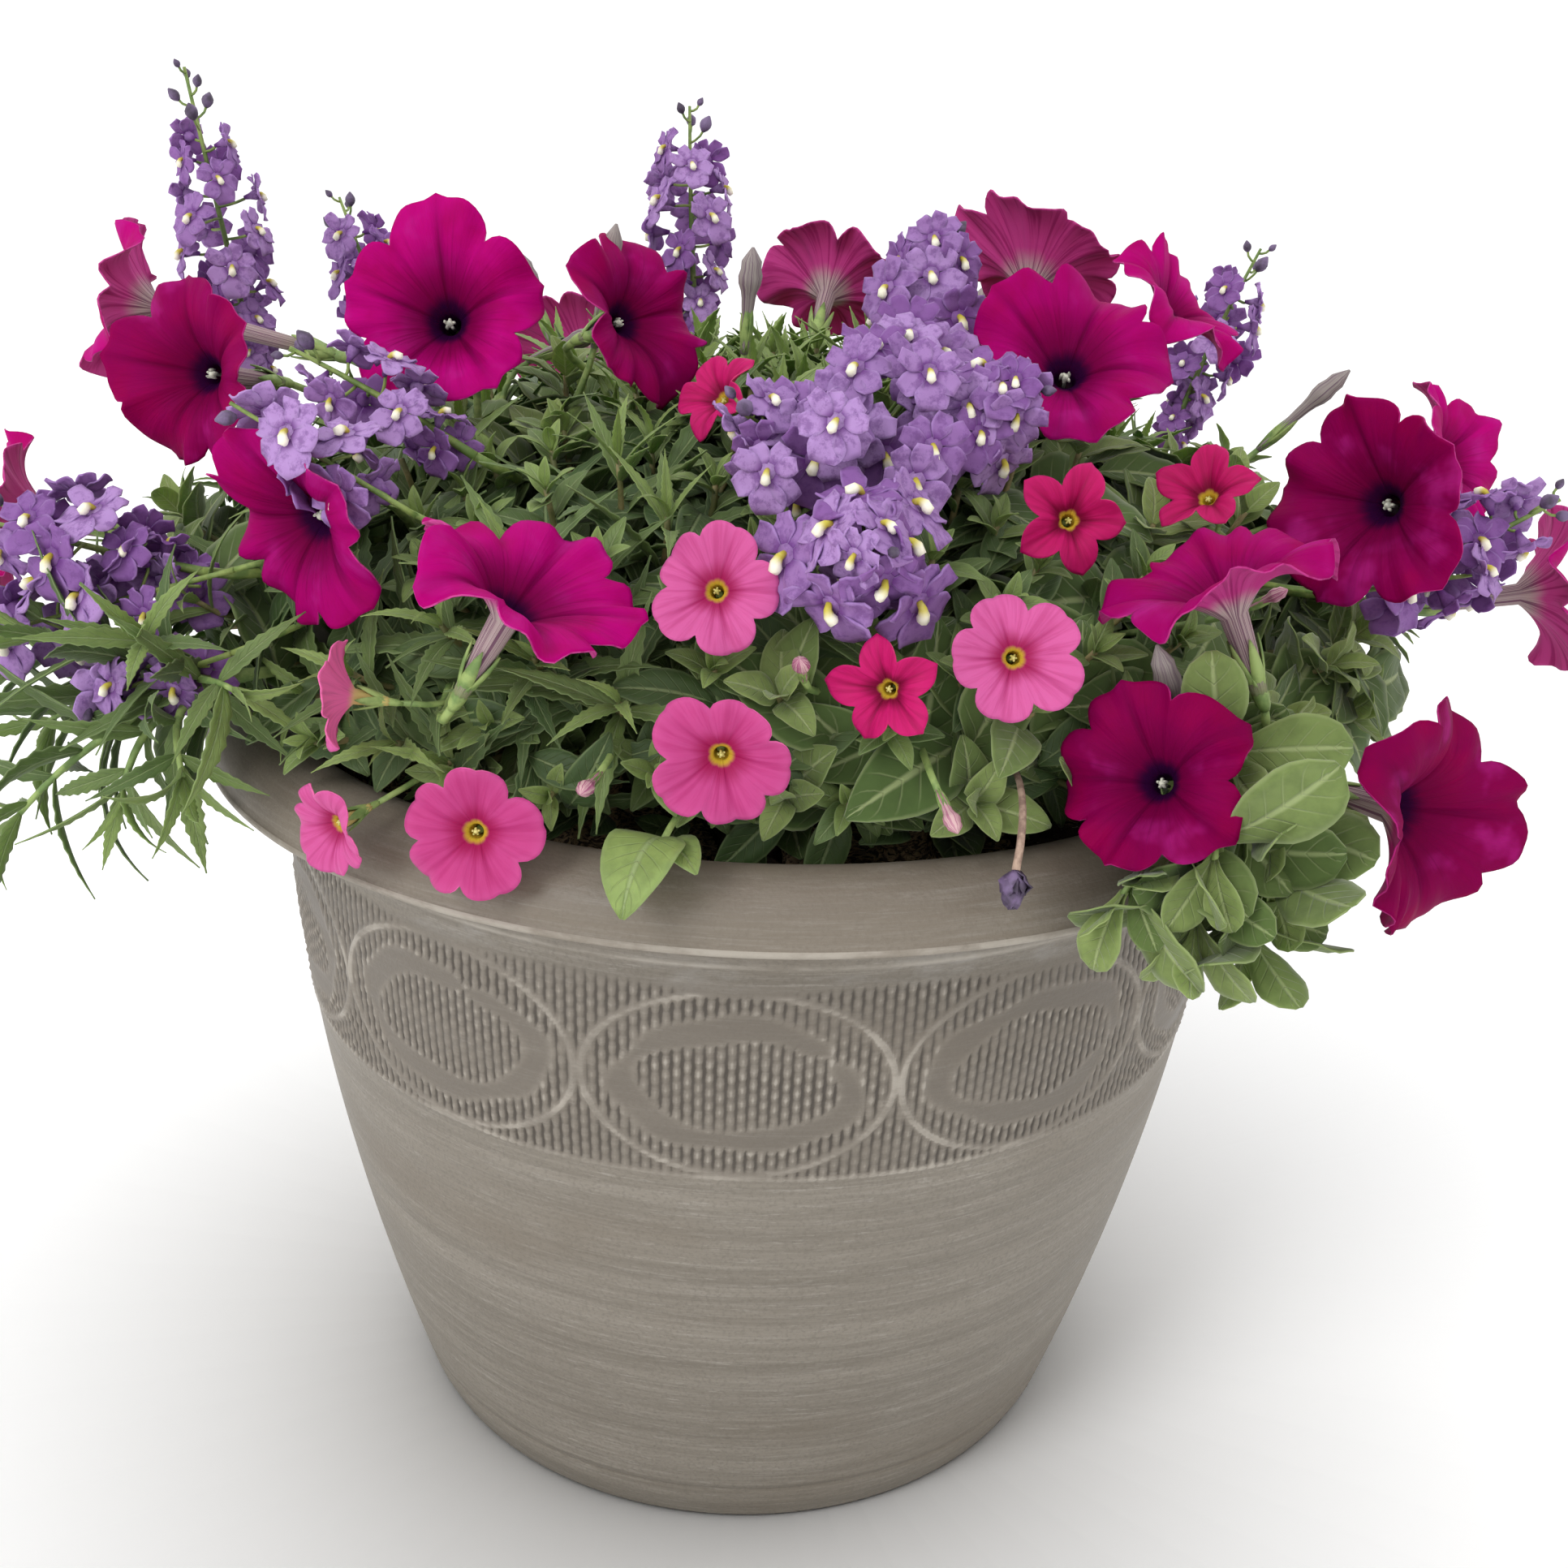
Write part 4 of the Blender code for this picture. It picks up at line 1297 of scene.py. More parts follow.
def make_spike(node, seed):
    """A spike: open flowers wound round its stem, then buds to its tip."""
    plant = node.rsplit("_spike_", 1)[0]
    look = SPIKES[plant.split("_")[0]]
    rng = np.random.default_rng(seed)
    base, tip, radius, widest = SPIKE_FRAMES[node]
    axis = unit(tip - base)
    length = np.linalg.norm(tip - base) * look["reach"]
    side, other = square_to(axis)
    bend = side * rng.uniform(-1, 1) + other * rng.uniform(-1, 1)
    outlook = unit(base * (1, 1, 0)) if np.hypot(base[0], base[1]) > 0.08 else np.array([0.0, -1.0, 0.0])
    count = max(int(length / look["pitch"]), 8)
    shape = Shape()
    line = base + np.outer(np.linspace(0, 1, 12) * length * STEM_SHARE, axis)
    line = line + np.outer(np.sin(np.linspace(0, math.pi, 12)) * 0.0015, bend)
    shape.tube(line, np.linspace(0.0013, 0.0005, 12), 6, 2, 0.5)
    for i in range(count):
        share = look["first"] + (1 - look["first"]) * (i + 0.5) / count
        turn = i * GOLDEN + rng.uniform(-0.25, 0.25)
        away = swing(side, other, turn)
        root = base + axis * share * length * STEM_SHARE
        if share < widest:
            room = radius * min(share / max(widest, 0.05), 1.0)
        else:
            room = radius * (1 - 0.72 * (share - widest) / (1 - widest))
        if share > look["bud"]:
            size = 1.25 - 0.7 * (share - look["bud"]) / (1 - look["bud"])
            end = root + (away * 0.8 + axis * 0.5) * room * 0.8
            shape.tube(bezier(root, root + away * 0.001, end - axis * 0.001, end, 4), 0.0004, 5, 2)
            shape.put(SMALL_BUD, axes_facing(away * 0.5 + axis * 0.8, 0), end, size, rng.uniform(), 3)
            continue
        fullness = 0.62 + 0.38 * min(room / radius * 1.15, 1.0)
        size = look["size"] * radius / SPIKE_RADIUS * fullness * rng.uniform(0.9, 1.08)
        out = max(room * look["spread"] * rng.uniform(0.75, 1.05) - 0.0045, 0.0045)
        place = root + away * out + axis * 0.002
        lean = away + axis * look["upright"] + outlook * look["front"] + UP * 0.10
        facing = unit(lean + rng.normal(size=3) * 0.14)
        axes = axes_facing(facing, rng.uniform(-0.35, 0.35))
        shape.put(FLORETS[rng.integers(len(FLORETS))], axes, place, size, rng.uniform())
        heel = place - facing * 0.005 * size
        shape.tube(bezier(root, root + away * out * 0.4, heel - facing * 0.001, heel, 5), 0.00045, 5, 2)
    stalk_into(shape, base + axis * 0.002, -axis, plant, 0.0013, 2, 0.06)
    plant_piece(shape, node.replace("_spike_", "_spray_"), SPRAY_MATERIALS, "lilac_petal", node)


for number, node in enumerate(SPIKE_NODES):
    make_spike(node, 300 + number)


def put_floret(shape, rng, place, facing, size):
    """An open flower. Its heel, where its stalk starts, is given back."""
    part = FLORETS[rng.integers(len(FLORETS))]
    shape.put(part, axes_facing(facing, rng.uniform(-0.4, 0.4)), place, size, rng.uniform())
    return place - facing * 0.005 * size


def make_loose_florets():
    """Open flowers between the nemesia's spikes, so that they read as one head."""
    rng = np.random.default_rng(350)
    shape = Shape()
    spikes = [spike for name, spike in SPIKE_FRAMES.items() if name.startswith("nemesia")]
    middles = np.array([(base + tip) / 2 for base, tip, _, _ in spikes])
    heart = np.mean(middles, axis=0)
    crown = ring_point(*PLANTS["nemesia"], MOUND_BOTTOM + 0.02)
    placed = []
    for _ in range(90):
        share = rng.dirichlet(np.full(len(middles), 0.9))
        place = share @ middles + rng.normal(size=3) * 0.005 + np.array([0, -0.006, 0.003])
        gap = min((np.linalg.norm(place - other) for other in placed), default=1.0)
        if len(placed) >= 22 or gap < 0.0095:
            continue
        placed.append(place)
        facing = unit(unit(place - heart) * 0.5 + np.array([0, -0.8, 0.35]) + rng.normal(size=3) * 0.16)
        heel = put_floret(shape, rng, place, facing, rng.uniform(0.92, 1.16))
        end = heel + (crown - heel) * 0.45
        shape.tube(bezier(heel, heel - facing * 0.008, end + UP * 0.006, end, 8), 0.0005, 5, 2)
    plant_piece(shape, "nemesia_loose_flowers", SPRAY_MATERIALS, "lilac_petal")


make_loose_florets()


# Leaning sprays that have no CAD solid: azimuth, reach and height of their base and of their tip, and
# their radius.
SIDE_SPRAYS = (
    ("angelonia_left", (-56, 0.160, 0.284), (-70, 0.222, 0.258), 0.0150),
    ("angelonia_left", (-52, 0.166, 0.266), (-60, 0.198, 0.250), 0.0095),
    ("angelonia_left", (-38, 0.134, 0.304), (-48, 0.166, 0.330), 0.0120),
    ("angelonia_right", (66, 0.170, 0.286), (74, 0.205, 0.290), 0.0120),
)


def make_side_sprays(plant, seed):
    """Short leaning sprays of the same flowers as the plant's spikes."""
    rng = np.random.default_rng(seed)
    shape = Shape()
    for owner, low, high, radius in SIDE_SPRAYS:
        if owner != plant:
            continue
        base, tip = ring_point(*low), ring_point(*high)
        length = np.linalg.norm(tip - base)
        axis = (tip - base) / length
        side, other = square_to(axis)
        line = base + np.outer(np.linspace(0, 1, 10) * length, axis)
        shape.tube(line, np.linspace(0.0008, 0.0005, 10), 6, 2)
        count = int(length / 0.0062)
        for i in range(count):
            share = 0.18 + 0.82 * (i + 0.5) / count
            turn = i * GOLDEN + rng.uniform(-0.2, 0.2)
            away = swing(side, other, turn)
            room = radius * math.sin(math.pi * (0.15 + 0.75 * share)) ** 0.7
            root = base + axis * share * length
            if share > 0.9:
                place = root + away * 0.002
                shape.put(SMALL_BUD, axes_facing(away + axis, 0), place, 1.1, rng.uniform(), 3)
                continue
            place = root + away * max(room - 0.004, 0.003)
            lean = away + axis * 0.2 + UP * 0.1 + unit(root * (1, 1, 0)) * 0.5
            facing = unit(lean + rng.normal(size=3) * 0.15)
            heel = put_floret(shape, rng, place, facing, 1.05 * rng.uniform(0.85, 1.12))
            shape.tube(bezier(root, root + away * 0.002, heel - facing * 0.001, heel, 5), 0.00045, 5, 2)
        stalk_into(shape, base + axis * 0.002, -axis, plant, 0.0008, 2, 0.08)
    plant_piece(shape, f"{plant}_side_sprays", SPRAY_MATERIALS, "lilac_petal")


make_side_sprays("angelonia_left", 360)
make_side_sprays("angelonia_right", 361)


# ---------------------------------------------------------------- leaves


# What leaves keep clear of: flowers' faces, spikes, and the sides of the model's box
GUARD_CENTRES = np.array([BLOOM_FRAMES[name][0] for name in BLOOM_NODES])
GUARD_FACES = np.array([flower_facing(name) for name in BLOOM_NODES])
GUARD_RADII = np.array([BLOOM_FRAMES[name][2] for name in BLOOM_NODES])
SPIKE_BASES = np.array([SPIKE_FRAMES[name][0] for name in SPIKE_NODES])
SPIKE_AXES = np.array([SPIKE_FRAMES[name][1] - SPIKE_FRAMES[name][0] for name in SPIKE_NODES])
SPIKE_RADII = np.array([SPIKE_FRAMES[name][2] for name in SPIKE_NODES])
LIMIT_LOW = np.array([-0.243, -0.172, 0.19])
LIMIT_HIGH = np.array([0.250, 0.172, 0.37])


def is_clear(points, guard=1.0):
    """True if a leaf is inside the model's box and clear of the rim and of the flowers' faces."""
    if (points < LIMIT_LOW).any() or (points > LIMIT_HIGH).any():
        return False
    reach = np.hypot(points[:, 0], points[:, 1])
    if ((points[:, 2] < POT_HEIGHT + 0.0012) & (reach > 0.134) & (reach < RIM_RADIUS + 0.0015)).any():
        return False
    away = points[:, None] - GUARD_CENTRES[None]
    ahead = (away * GUARD_FACES).sum(axis=2)
    off = np.sqrt(np.maximum((away**2).sum(axis=2) - ahead**2, 0))
    beside = (ahead > -0.30 * GUARD_RADII) & (ahead < 1.1 * guard * GUARD_RADII)
    if (beside & (off < 0.93 * guard * GUARD_RADII)).any():
        return False
    length = np.linalg.norm(SPIKE_AXES, axis=1)
    away = points[:, None] - SPIKE_BASES[None]
    share = (away * (SPIKE_AXES / length[:, None])).sum(axis=2)
    off = np.sqrt(np.maximum((away**2).sum(axis=2) - share**2, 0))
    return not ((share > 0.15 * length) & (share < length) & (off < 0.75 * guard * SPIKE_RADII)).any()


def variants(kind, length, width, rises, curls, fold, wave, rows, cols):
    """A few bent forms of one kind of leaf."""
    return [leaf_shape(length, width, kind, rise, curl, fold, wave, rows, cols, i * 1.7)
            for i, (rise, curl) in enumerate(zip(rises, curls))]


LEAVES = {
    "petunia": variants(
        "ovate", 0.039, 0.021, (0.3, 0.15, 0.4, 0.2), (0.9, 0.4, 1.3, 0.7), 0.22, 0.035, 12, 7
    ),
    "calibrachoa": variants(
        "small", 0.025, 0.0105, (0.3, 0.1, 0.45, 0.2), (0.8, 0.3, 1.1, 0.6), 0.25, 0.02, 9, 5
    ),
    "angelonia": variants(
        "lance", 0.052, 0.0094, (0.25, 0.1, 0.4, 0.3), (0.9, 0.5, 1.2, 0.3), 0.30, 0.02, 21, 5
    ),
    "nemesia": variants(
        "lance", 0.034, 0.0092, (0.3, 0.2, 0.5, 0.35), (0.6, 0.3, 0.9, 0.2), 0.28, 0.02, 15, 5
    ),
}

GROWTH = {
    "petunia": {"stems": 20, "gap": 0.0120, "leaves": 6, "tip": 5, "tip_size": 0.5, "pair": 1},
    "calibrachoa": {"stems": 34, "gap": 0.0060, "leaves": 10, "tip": 5, "tip_size": 0.55, "pair": 1},
    "angelonia": {"stems": 24, "gap": 0.0105, "leaves": 5, "tip": 4, "tip_size": 0.5, "pair": 2},
    "nemesia": {"stems": 34, "gap": 0.0085, "leaves": 5, "tip": 6, "tip_size": 0.65, "pair": 2},
}

# Kinds of stem in each plant's share of the mound, where neighbours grow through one another, how bright
# its young leaves are, and how many shaded leaves lie behind and below them.
FOLIAGE = {
    "nemesia": (("nemesia", "nemesia", "calibrachoa"), 0.75, 120, 20),
    "calibrachoa_rose": (("calibrachoa", "calibrachoa", "petunia"), 0.45, 150, 46),
    "petunia_right": (("petunia",), 0.6, 90, 26),
    "angelonia_right": (("angelonia", "petunia"), 0.5, 90, 26),
    "petunia_back": (("petunia",), 0.55, 100, 26),
    "angelonia_left": (("angelonia",), 0.55, 90, 26),
    "petunia_left": (("angelonia", "angelonia", "petunia", "calibrachoa"), 0.5, 100, 30),
    "calibrachoa_pink": (("calibrachoa", "calibrachoa", "angelonia"), 0.5, 150, 46),
}
DOWNY = ("petunia",)
LEAF_LOOKS = {True: (PETUNIA_LEAF, "petunia_leaf"), False: (FINE_LEAF, "fine_leaf")}


def skin_spots(node, count, rng):
    """Points spread over a plant's share of the mound's skin, each the best spaced of a few tries."""
    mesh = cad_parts[node].data
    mesh.calc_loop_triangles()
    points = corners_of(node)
    index = np.array([tri.vertices[:] for tri in mesh.loop_triangles])
    middle = points[index].mean(axis=1)
    areas = np.array([tri.area for tri in mesh.loop_triangles]) * (mound_level(middle) > 0.93)
    if areas.sum() <= 0:
        return np.zeros((0, 3))
    chosen = []
    for _ in range(count):
        best, most = None, -1.0
        for _ in range(9):
            corner = points[index[rng.choice(len(areas), p=areas / areas.sum())]]
            mix = rng.dirichlet((1, 1, 1))
            spot = mix @ corner
            gap = min((np.linalg.norm(spot - other) for other in chosen), default=1.0)
            if gap > most:
                best, most = spot, gap
        chosen.append(best)
    return np.array(chosen)


def add_leaf(shape, kinds, rng, root, along, facing, size, own, guard=1.0):
    """Put one leaf if it has room."""
    part = kinds[rng.integers(len(kinds))]
    axes = axes_for(along, facing)
    points = part.points[0] * size @ axes.T + root
    if is_clear(points, guard):
        shape.put(part, axes, root, size, own)


def leafy_stem(shape, kinds, look, rng, path, radius, outward, bright=0.5, guard=1.0):
    """A stem with leaves wound up its outer part and a tuft of young ones at its tip."""
    shape.tube(path, np.linspace(radius * 1.2, radius * 0.65, len(path)), 6, 1, 0.5)
    lengths = np.concatenate([[0], np.cumsum(np.linalg.norm(np.diff(path, axis=0), axis=1))])
    total = lengths[-1]
    turn = rng.uniform(0, ROUND)
    for i in range(look["leaves"]):
        reach = total - look["gap"] * (i + 0.6)
        if reach < 0.2 * total:
            break
        root = np.array([np.interp(reach, lengths, path[:, k]) for k in range(3)])
        ahead = np.array([np.interp(min(reach + 0.004, total), lengths, path[:, k]) for k in range(3)])
        way = unit(ahead - root + 1e-9)
        side, other = square_to(way, (0.2, 0.1, 1.0))
        turn += GOLDEN if look["pair"] == 1 else math.pi / 2
        youth = max(0.0, 1 - i / look["leaves"])
        size = (1.0 - 0.42 * youth**2) * rng.uniform(0.85, 1.12)
        for k in range(look["pair"]):
            spin = turn + k * math.pi
            away = swing(side, other, spin)
            along = away * 0.9 + way * 0.45 + outward * 0.15
            facing = way * 0.5 + outward * 0.55 + UP * 0.45 + rng.normal(size=3) * 0.15
            own = np.clip(bright * (0.35 + 0.5 * youth) + rng.uniform(-0.12, 0.15), 0, 1)
            add_leaf(shape, kinds, rng, root, along, facing, size, own, guard)
    tip, way = path[-1], unit(path[-1] - path[-2])
    side, other = square_to(way, (0.2, 0.1, 1.0))
    for i in range(look["tip"]):
        away = swing(side, other, turn + i * GOLDEN)
        along = way * (0.9 - 0.12 * i) + away * (0.35 + 0.14 * i)
        facing = away * -0.6 + way * 0.8 + UP * 0.3
        own = np.clip(bright + 0.35 - 0.05 * i + rng.uniform(-0.08, 0.08), 0, 1)
        size = look["tip_size"] * (0.62 + 0.1 * i) * rng.uniform(0.9, 1.1)
        add_leaf(shape, kinds, rng, tip - way * 0.001 * i, along, facing, size, own, guard)


def nearest_plant(point):
    """The plant whose crown is nearest to a point."""
    return min(PLANTS, key=lambda name: np.linalg.norm(ring_point(*PLANTS[name], 0)[:2] - point[:2]))


def make_foliage(plant, seed):
    """A plant's share of the mound: stems from its crown to the skin, and shaded leaves behind."""
    kinds, bright, backs, low_leaves = FOLIAGE[plant]
    rng = np.random.default_rng(seed)
    node = f"{plant}_foliage"
    crown = ring_point(*PLANTS[plant], MOUND_BOTTOM - 0.001)
    own_kind = plant.split("_")[0]
    shapes = {True: Shape(), False: Shape()}
    for number, spot in enumerate(skin_spots(node, GROWTH[own_kind]["stems"], rng)):
        kind = kinds[number % len(kinds)]
        outward = mound_normal(spot)
        low_edge = spot[2] < MOUND_BOTTOM + 0.022
        tip = spot - outward * (rng.uniform(0.005, 0.012) if low_edge else rng.uniform(-0.004, 0.007))
        tip[2] = max(tip[2], MOUND_BOTTOM + 0.009)
        start = crown + unit((tip - crown) * (1, 1, 0.0) + 1e-6) * 0.004
        span = np.linalg.norm(tip - start)
        path = bezier(start, start + UP * span * 0.45, tip - outward * span * 0.3 - UP * 0.004, tip, 12)
        shape = shapes[kind in DOWNY]
        leafy_stem(shape, LEAVES[kind], GROWTH[kind], rng, path, 0.0012, outward, bright)
    for number, spot in enumerate(skin_spots(node, backs, rng)):
        kind = kinds[number % len(kinds)]
        outward = mound_normal(spot)
        root = spot - outward * rng.uniform(0.010, 0.026)
        root[2] = max(root[2], MOUND_BOTTOM + 0.004)
        along = swing(*square_to(outward), rng.uniform(0, ROUND)) + outward * 0.2
        facing = outward + rng.normal(size=3) * 0.3
        size = rng.uniform(0.8, 1.1) * (0.8 if kind == "angelonia" else 1.0)
        own = rng.uniform(0, 0.25)
        add_leaf(shapes[kind in DOWNY], LEAVES[kind], rng, root, along, facing, size, own)
    for number in range(low_leaves * 6):
        reach = 0.128 * math.sqrt(rng.uniform(0.1, 1.0))
        root = ring_point(rng.uniform(-180, 180), reach, rng.uniform(0.222, 0.240))
        if nearest_plant(root) != plant:
            continue
        kind = kinds[number % len(kinds)]
        outward = unit(root * (1, 1, 0))
        along = outward + rng.normal(size=3) * (0.9, 0.9, 0.3)
        facing = UP * 0.7 + outward * 0.6 + rng.normal(size=3) * 0.25
        size = rng.uniform(0.6, 0.9)
        own = rng.uniform(0, 0.3)
        add_leaf(shapes[kind in DOWNY], LEAVES[kind], rng, root, along, facing, size, own)
    for downy, shape in shapes.items():
        if not shape.count:
            continue
        label = f"{plant}_downy_leaves" if downy else f"{plant}_fine_leaves"
        material, slot = LEAF_LOOKS[downy]
        plant_piece(shape, label, [material, WOODY], slot, node)


for number, plant in enumerate(PLANTS):
    make_foliage(plant, 500 + number)


# Branches of each hanging shoot: azimuth, reach and height of their common root and of the knee over the
# rim, then of each tip. One branch of each shoot runs down its CAD solid.
SHOOTS = {
    "petunia_right": (
        (44, 0.140, 0.250), (40, 0.172, 0.2500),
        (
            (40, 0.187, 0.219), (34, 0.178, 0.244), (41, 0.182, 0.250), (29, 0.178, 0.236),
            (45, 0.178, 0.242), (38, 0.176, 0.264), (34, 0.189, 0.246), (42, 0.186, 0.232),
            (34, 0.186, 0.228),
        ),
    ),
    "angelonia_left": (
        (-56, 0.150, 0.256), (-57, 0.180, 0.2520),
        (
            (-62, 0.216, 0.218), (-68, 0.205, 0.236), (-54, 0.194, 0.232), (-74, 0.205, 0.250),
            (-49, 0.184, 0.240), (-47, 0.172, 0.262), (-53, 0.186, 0.272), (-63, 0.206, 0.266),
        ),
    ),
}
SPOON_LEAVES = variants(
    "spoon", 0.029, 0.0160, (0.15, 0.4, 0.25, 0.05), (0.5, 0.9, 0.2, 0.7), 0.18, 0.03, 12, 7
)
SLIM_LEAVES = variants(
    "lance", 0.044, 0.0080, (0.25, 0.1, 0.4, 0.3), (0.9, 0.5, 1.2, 0.3), 0.30, 0.02, 19, 5
)


def make_shoot(plant, seed, leaves, growth, bright):
    """A tuft of leafy branches that hangs outside the rim."""
    rng = np.random.default_rng(seed)
    look = {**GROWTH[plant.split("_")[0]], **growth}
    root, knee, tips = SHOOTS[plant]
    root, knee = ring_point(*root), ring_point(*knee)
    shape = Shape()
    for place in tips:
        tip = ring_point(*place)
        outward = unit(tip * (1, 1, 0))
        path = bezier(root, knee + UP * 0.003, knee * 0.4 + tip * 0.6 + UP * 0.006, tip, 14)
        leafy_stem(shape, leaves, look, rng, path, 0.0012, outward, bright, 0.8)
    material, slot = LEAF_LOOKS[plant.startswith(DOWNY)]
    plant_piece(shape, f"{plant}_hanging_shoot", [material, SEPAL], slot, f"{plant}_shoot")


make_shoot("petunia_right", 601, SPOON_LEAVES, {"leaves": 5, "gap": 0.0055, "tip": 7, "tip_size": 0.95}, 0.45)
make_shoot("angelonia_left", 602, SLIM_LEAVES, {"leaves": 4, "gap": 0.0105, "tip": 5, "tip_size": 0.7}, 0.45)


# ---------------------------------------------------------------- buds and small extras


# Closed buds: plant, azimuth and rise of the spot on the mound, azimuth and rise that it points, length.
BUDS = (
    ("petunia_left", -84, 60, -40, 78, 0.046),
    ("petunia_left", -60, 72, 40, 72, 0.044),
    ("petunia_left", -106, 64, 75, 22, 0.034),
    ("petunia_back", -12, 78, 20, 80, 0.036),
    ("petunia_right", 92, 44, 75, 48, 0.042),
    ("petunia_right", 34, 8, -50, 62, 0.044),
    ("petunia_right", 97, 22, 100, 30, 0.036),
    ("petunia_back", 150, 50, 160, 55, 0.040),
    ("petunia_back", -140, 55, -130, 60, 0.040),
)
SMALL_BUDS = (
    ("calibrachoa_rose", 4, 24, -10, 45, 0.014),
    ("calibrachoa_rose", 13, 12, 20, -25, 0.017),
    ("calibrachoa_pink", -10, 12, -20, -10, 0.013),
    ("calibrachoa_rose", 46, 30, 60, 35, 0.015),
    ("calibrachoa_pink", -14, 30, -30, 40, 0.014),
)


def make_buds(name, buds, width, material, sepal, slot, seed):
    """Furled buds on thin stalks, ribbed and pointed, with their sepals."""
    rng = np.random.default_rng(seed)
    shape = Shape()
    for plant, azimuth, rise, face_azimuth, face_rise, length in buds:
        way = direction(face_azimuth, face_rise)
        spot = mound_point(azimuth, rise, 0.97)
        heel = spot + way * length * 0.22 + mound_normal(spot) * 0.004
        share = np.linspace(0, 1, 15)
        line = heel + np.outer(share * length * 0.78, way)
        line = line + np.outer(np.sin(share * 2.6) * length * 0.03, mound_normal(spot))
        swell = np.interp(share, (0, 0.15, 0.5, 0.68, 0.86, 1.0), (0.34, 0.4, 0.55, 1.0, 0.8, 0.12))
        ripple = 1 + 0.06 * np.sin(share * 30)
        shape.tube(line, width * swell * ripple, 10, 0, rng.uniform(), 0.86)
        bundle(shape, heel, way, rng.uniform(0, 1.2), 5, sepal, 0.34, 1, rng.uniform(0.2, 0.8))
        stalk_into(shape, heel + way * 0.001, -way, plant, 0.0009, 1, 0.05)
    plant_piece(shape, name, [material, SEPAL], slot)


make_buds("petunia_buds", BUDS, 0.0034, BUD, PETUNIA_SEPAL, "petunia_petal", 701)
make_buds("calibrachoa_buds", SMALL_BUDS, 0.0022, PINK_BUD, CALYX_SEPAL, "pink_petal", 702)


def make_rim_leaf():
    """One bright leaf that hangs over the front of the rim."""
    part = leaf_shape(0.031, 0.018, "ovate", 0.45, 1.95, 0.16, 0.02, 14, 7, 0.6)
    small = leaf_shape(0.020, 0.010, "ovate", 0.3, 1.0, 0.2, 0.02, 10, 5, 0.2)
    shape = Shape()
    root = ring_point(-7, 0.152, 0.2425)
    shape.put(part, axes_for(direction(-16, 6), UP + direction(-12, 0) * 0.2), root, own=0.95)
    shape.put(small, axes_for(direction(25, 10), UP + direction(-6, 0) * 0.3), root - UP * 0.001, own=0.8)
    start = ring_point(-4, 0.115, 0.240)
    before = root - direction(-10, 0) * 0.01 + UP * 0.002
    shape.tube(bezier(start, start + UP * 0.01, before, root, 8), 0.0009, 6, 1)
    plant_piece(shape, "rim_leaf", [FINE_LEAF, SEPAL], "fine_leaf")


def make_spent_bloom():
    """A withered flower that hangs limp over the rim."""
    rng = np.random.default_rng(703)
    shape = Shape()
    start = ring_point(27, 0.128, 0.252)
    top, end = ring_point(24, 0.160, 0.258), ring_point(21, 0.1705, 0.2425)
    stalk = bezier(start, start + UP * 0.006 + direction(24, 0) * 0.012, top, end, 12)
    shape.tube(stalk, np.linspace(0.0006, 0.0010, 12), 7, 0)
    for i in range(5):
        share = np.linspace(0, 1, 8)[:, None]
        turn = i * 1.25 + rng.uniform(0, 0.5)
        side = direction(21 + 90, 0) * math.cos(turn) + direction(21, 0) * abs(math.sin(turn)) * 0.7
        line = end + side * 0.0030 * np.sin(share * 2.4) - UP * share * (0.006 + 0.003 * (i % 2))
        half = np.cross(side, UP) * 0.0017 * (0.4 + np.sin(math.pi * share))
        ruck = side * 0.0006 * np.sin(share * 14 + i)
        grid = np.stack([line - half + ruck, line - ruck, line + half + ruck], axis=1)
        forms = stacked(np.array([-1.0, 0, 1])[None], share, 0.4)
        shape.sheet(grid, forms, LEAF_THICKNESS, (1, 1))
    plant_piece(shape, "spent_bloom", [WITHERED, LILAC_BUD], "petunia_petal")


make_rim_leaf()
make_spent_bloom()


# ---------------------------------------------------------------- setting


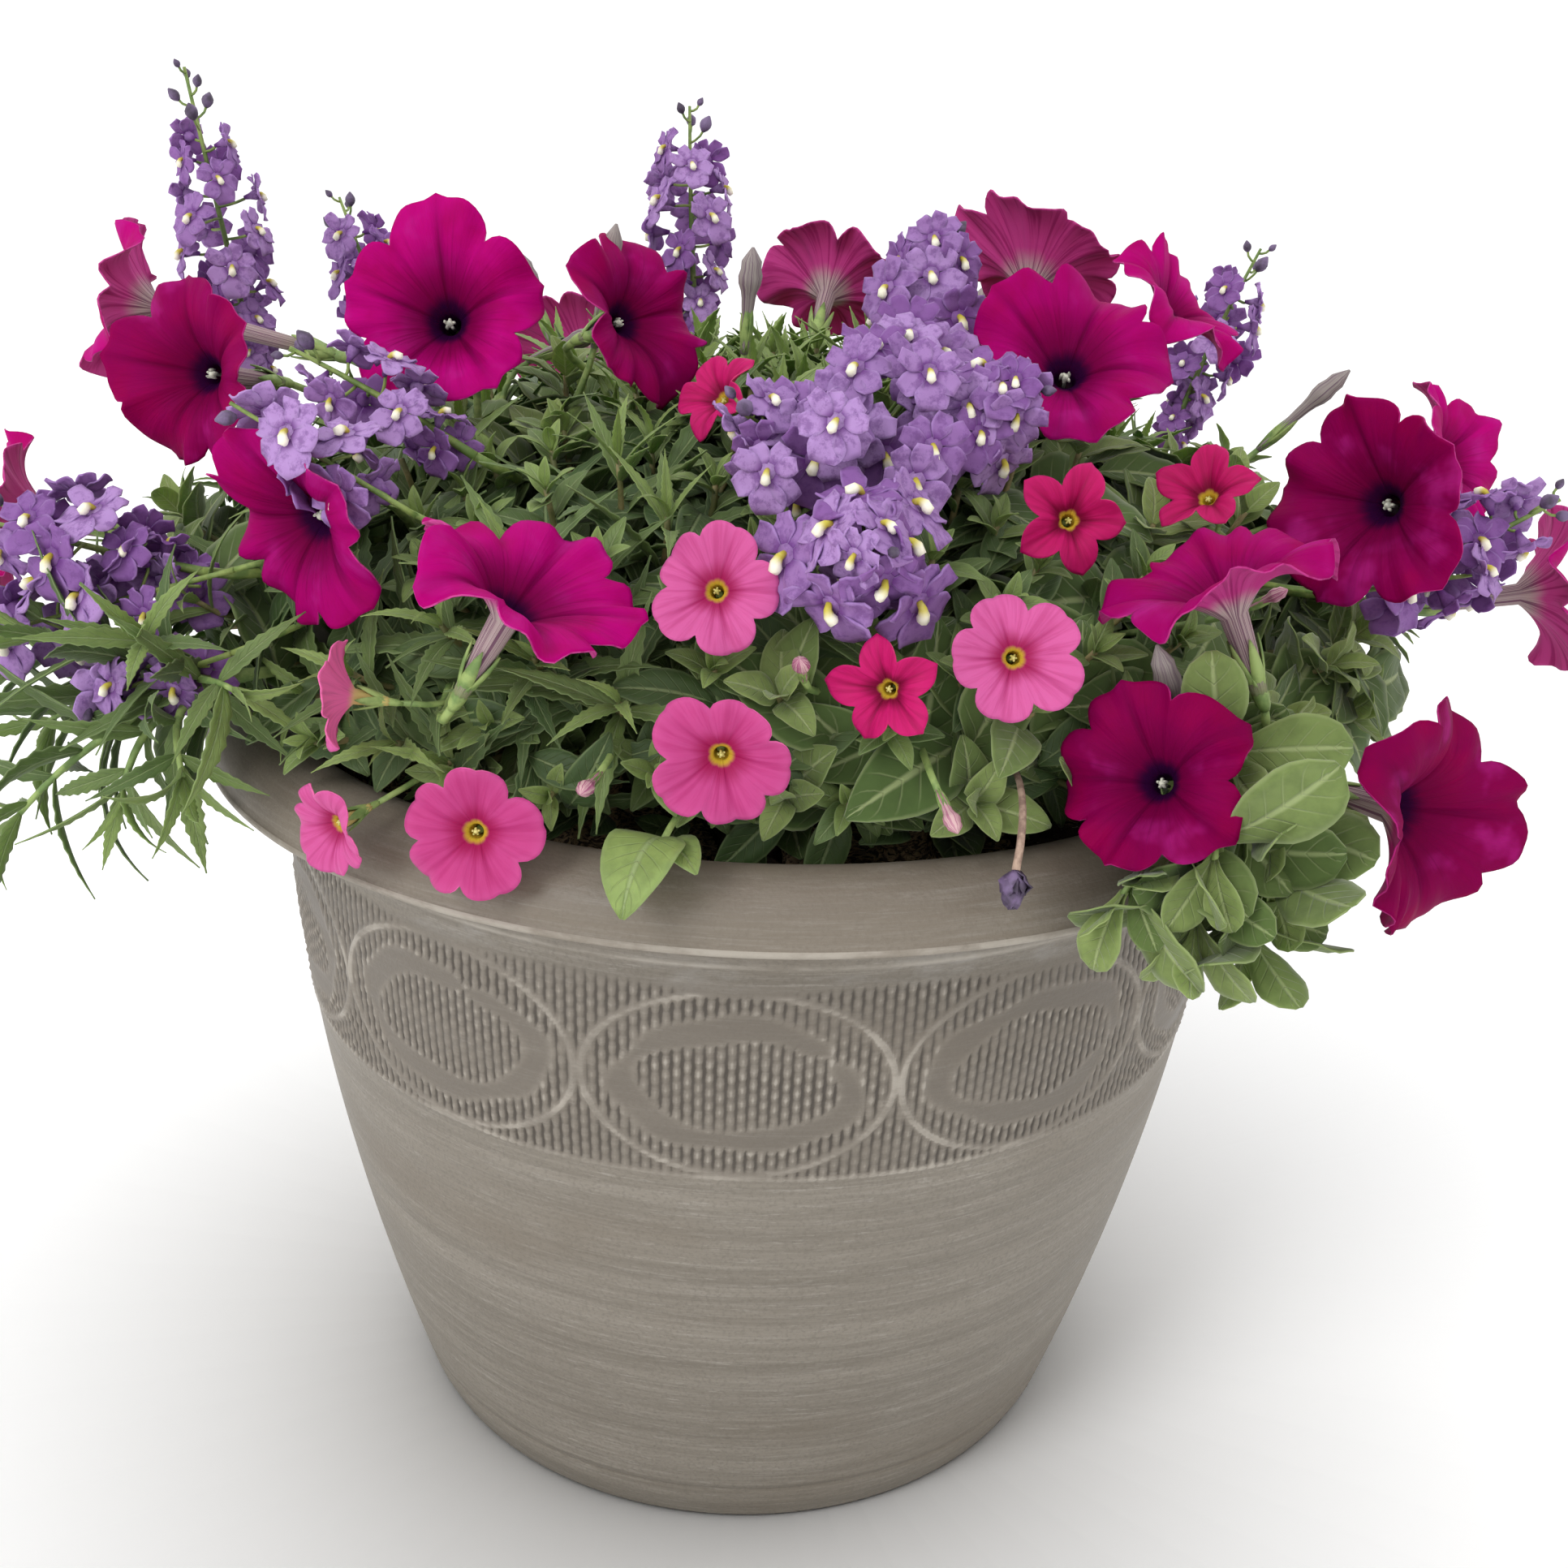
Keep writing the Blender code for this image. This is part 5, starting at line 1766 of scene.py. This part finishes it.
def make_floor():
    """A plain pale floor."""
    shape = Shape()
    turn = turns(64)
    reach = np.array([0.001, 0.5, 1.5, 5.99, 6.0])[:, None]
    grid = stacked(reach * np.cos(turn), reach * np.sin(turn), -0.0006)
    shape.sheet(grid, np.zeros_like(grid), 0.001, wrap=True)
    floor = shape.build("floor", [floor_material()])


def make_lights():
    """A white studio with three soft lights."""
    world = bpy.data.worlds.new("studio")
    world.use_nodes = True
    world.node_tree.nodes["Background"].inputs["Color"].default_value = (1.0, 1.0, 1.0, 1.0)
    world.node_tree.nodes["Background"].inputs["Strength"].default_value = 1.14
    bpy.context.scene.world = world

    lights = (
        ("key", (-1.1, -1.4, 1.5), 0.9, 15.0),
        ("fill", (1.4, -0.9, 1.1), 1.6, 0.4),
        ("back", (-0.2, 1.5, 1.6), 1.4, 3.5),
    )
    for name, place, size, power in lights:
        data = bpy.data.lights.new(name, "AREA")
        data.shape = "DISK"
        data.size = size
        data.energy = power
        item = bpy.data.objects.new(name, data)
        item.location = place
        aim = Vector((0, 0, 0.2)) - Vector(place)
        item.rotation_euler = aim.to_track_quat("-Z", "Y").to_euler()
        bpy.context.scene.collection.objects.link(item)


# Where the photo was taken from, in metres and radians, fitted to the pot's outline and the flowers
CAMERA_PLACE = (0.0083, -0.517, 0.4055)
CAMERA_TILT = 0.3843
CAMERA_ROLL = 0.0448
CAMERA_LENS = 40.27


def make_camera():
    """A camera like the photo's, as nearly as it could be told."""
    data = bpy.data.cameras.new("camera")
    data.sensor_width = 36.0
    data.lens = CAMERA_LENS
    data.clip_start = 0.02
    camera = bpy.data.objects.new("camera", data)
    turn = Matrix.Rotation(math.pi / 2 - CAMERA_TILT, 4, "X") @ Matrix.Rotation(CAMERA_ROLL, 4, "Z")
    camera.matrix_world = Matrix.Translation(CAMERA_PLACE) @ turn
    bpy.context.scene.collection.objects.link(camera)
    bpy.context.scene.camera = camera
    bpy.context.scene.view_settings.view_transform = "Standard"


make_floor()
make_lights()
make_camera()
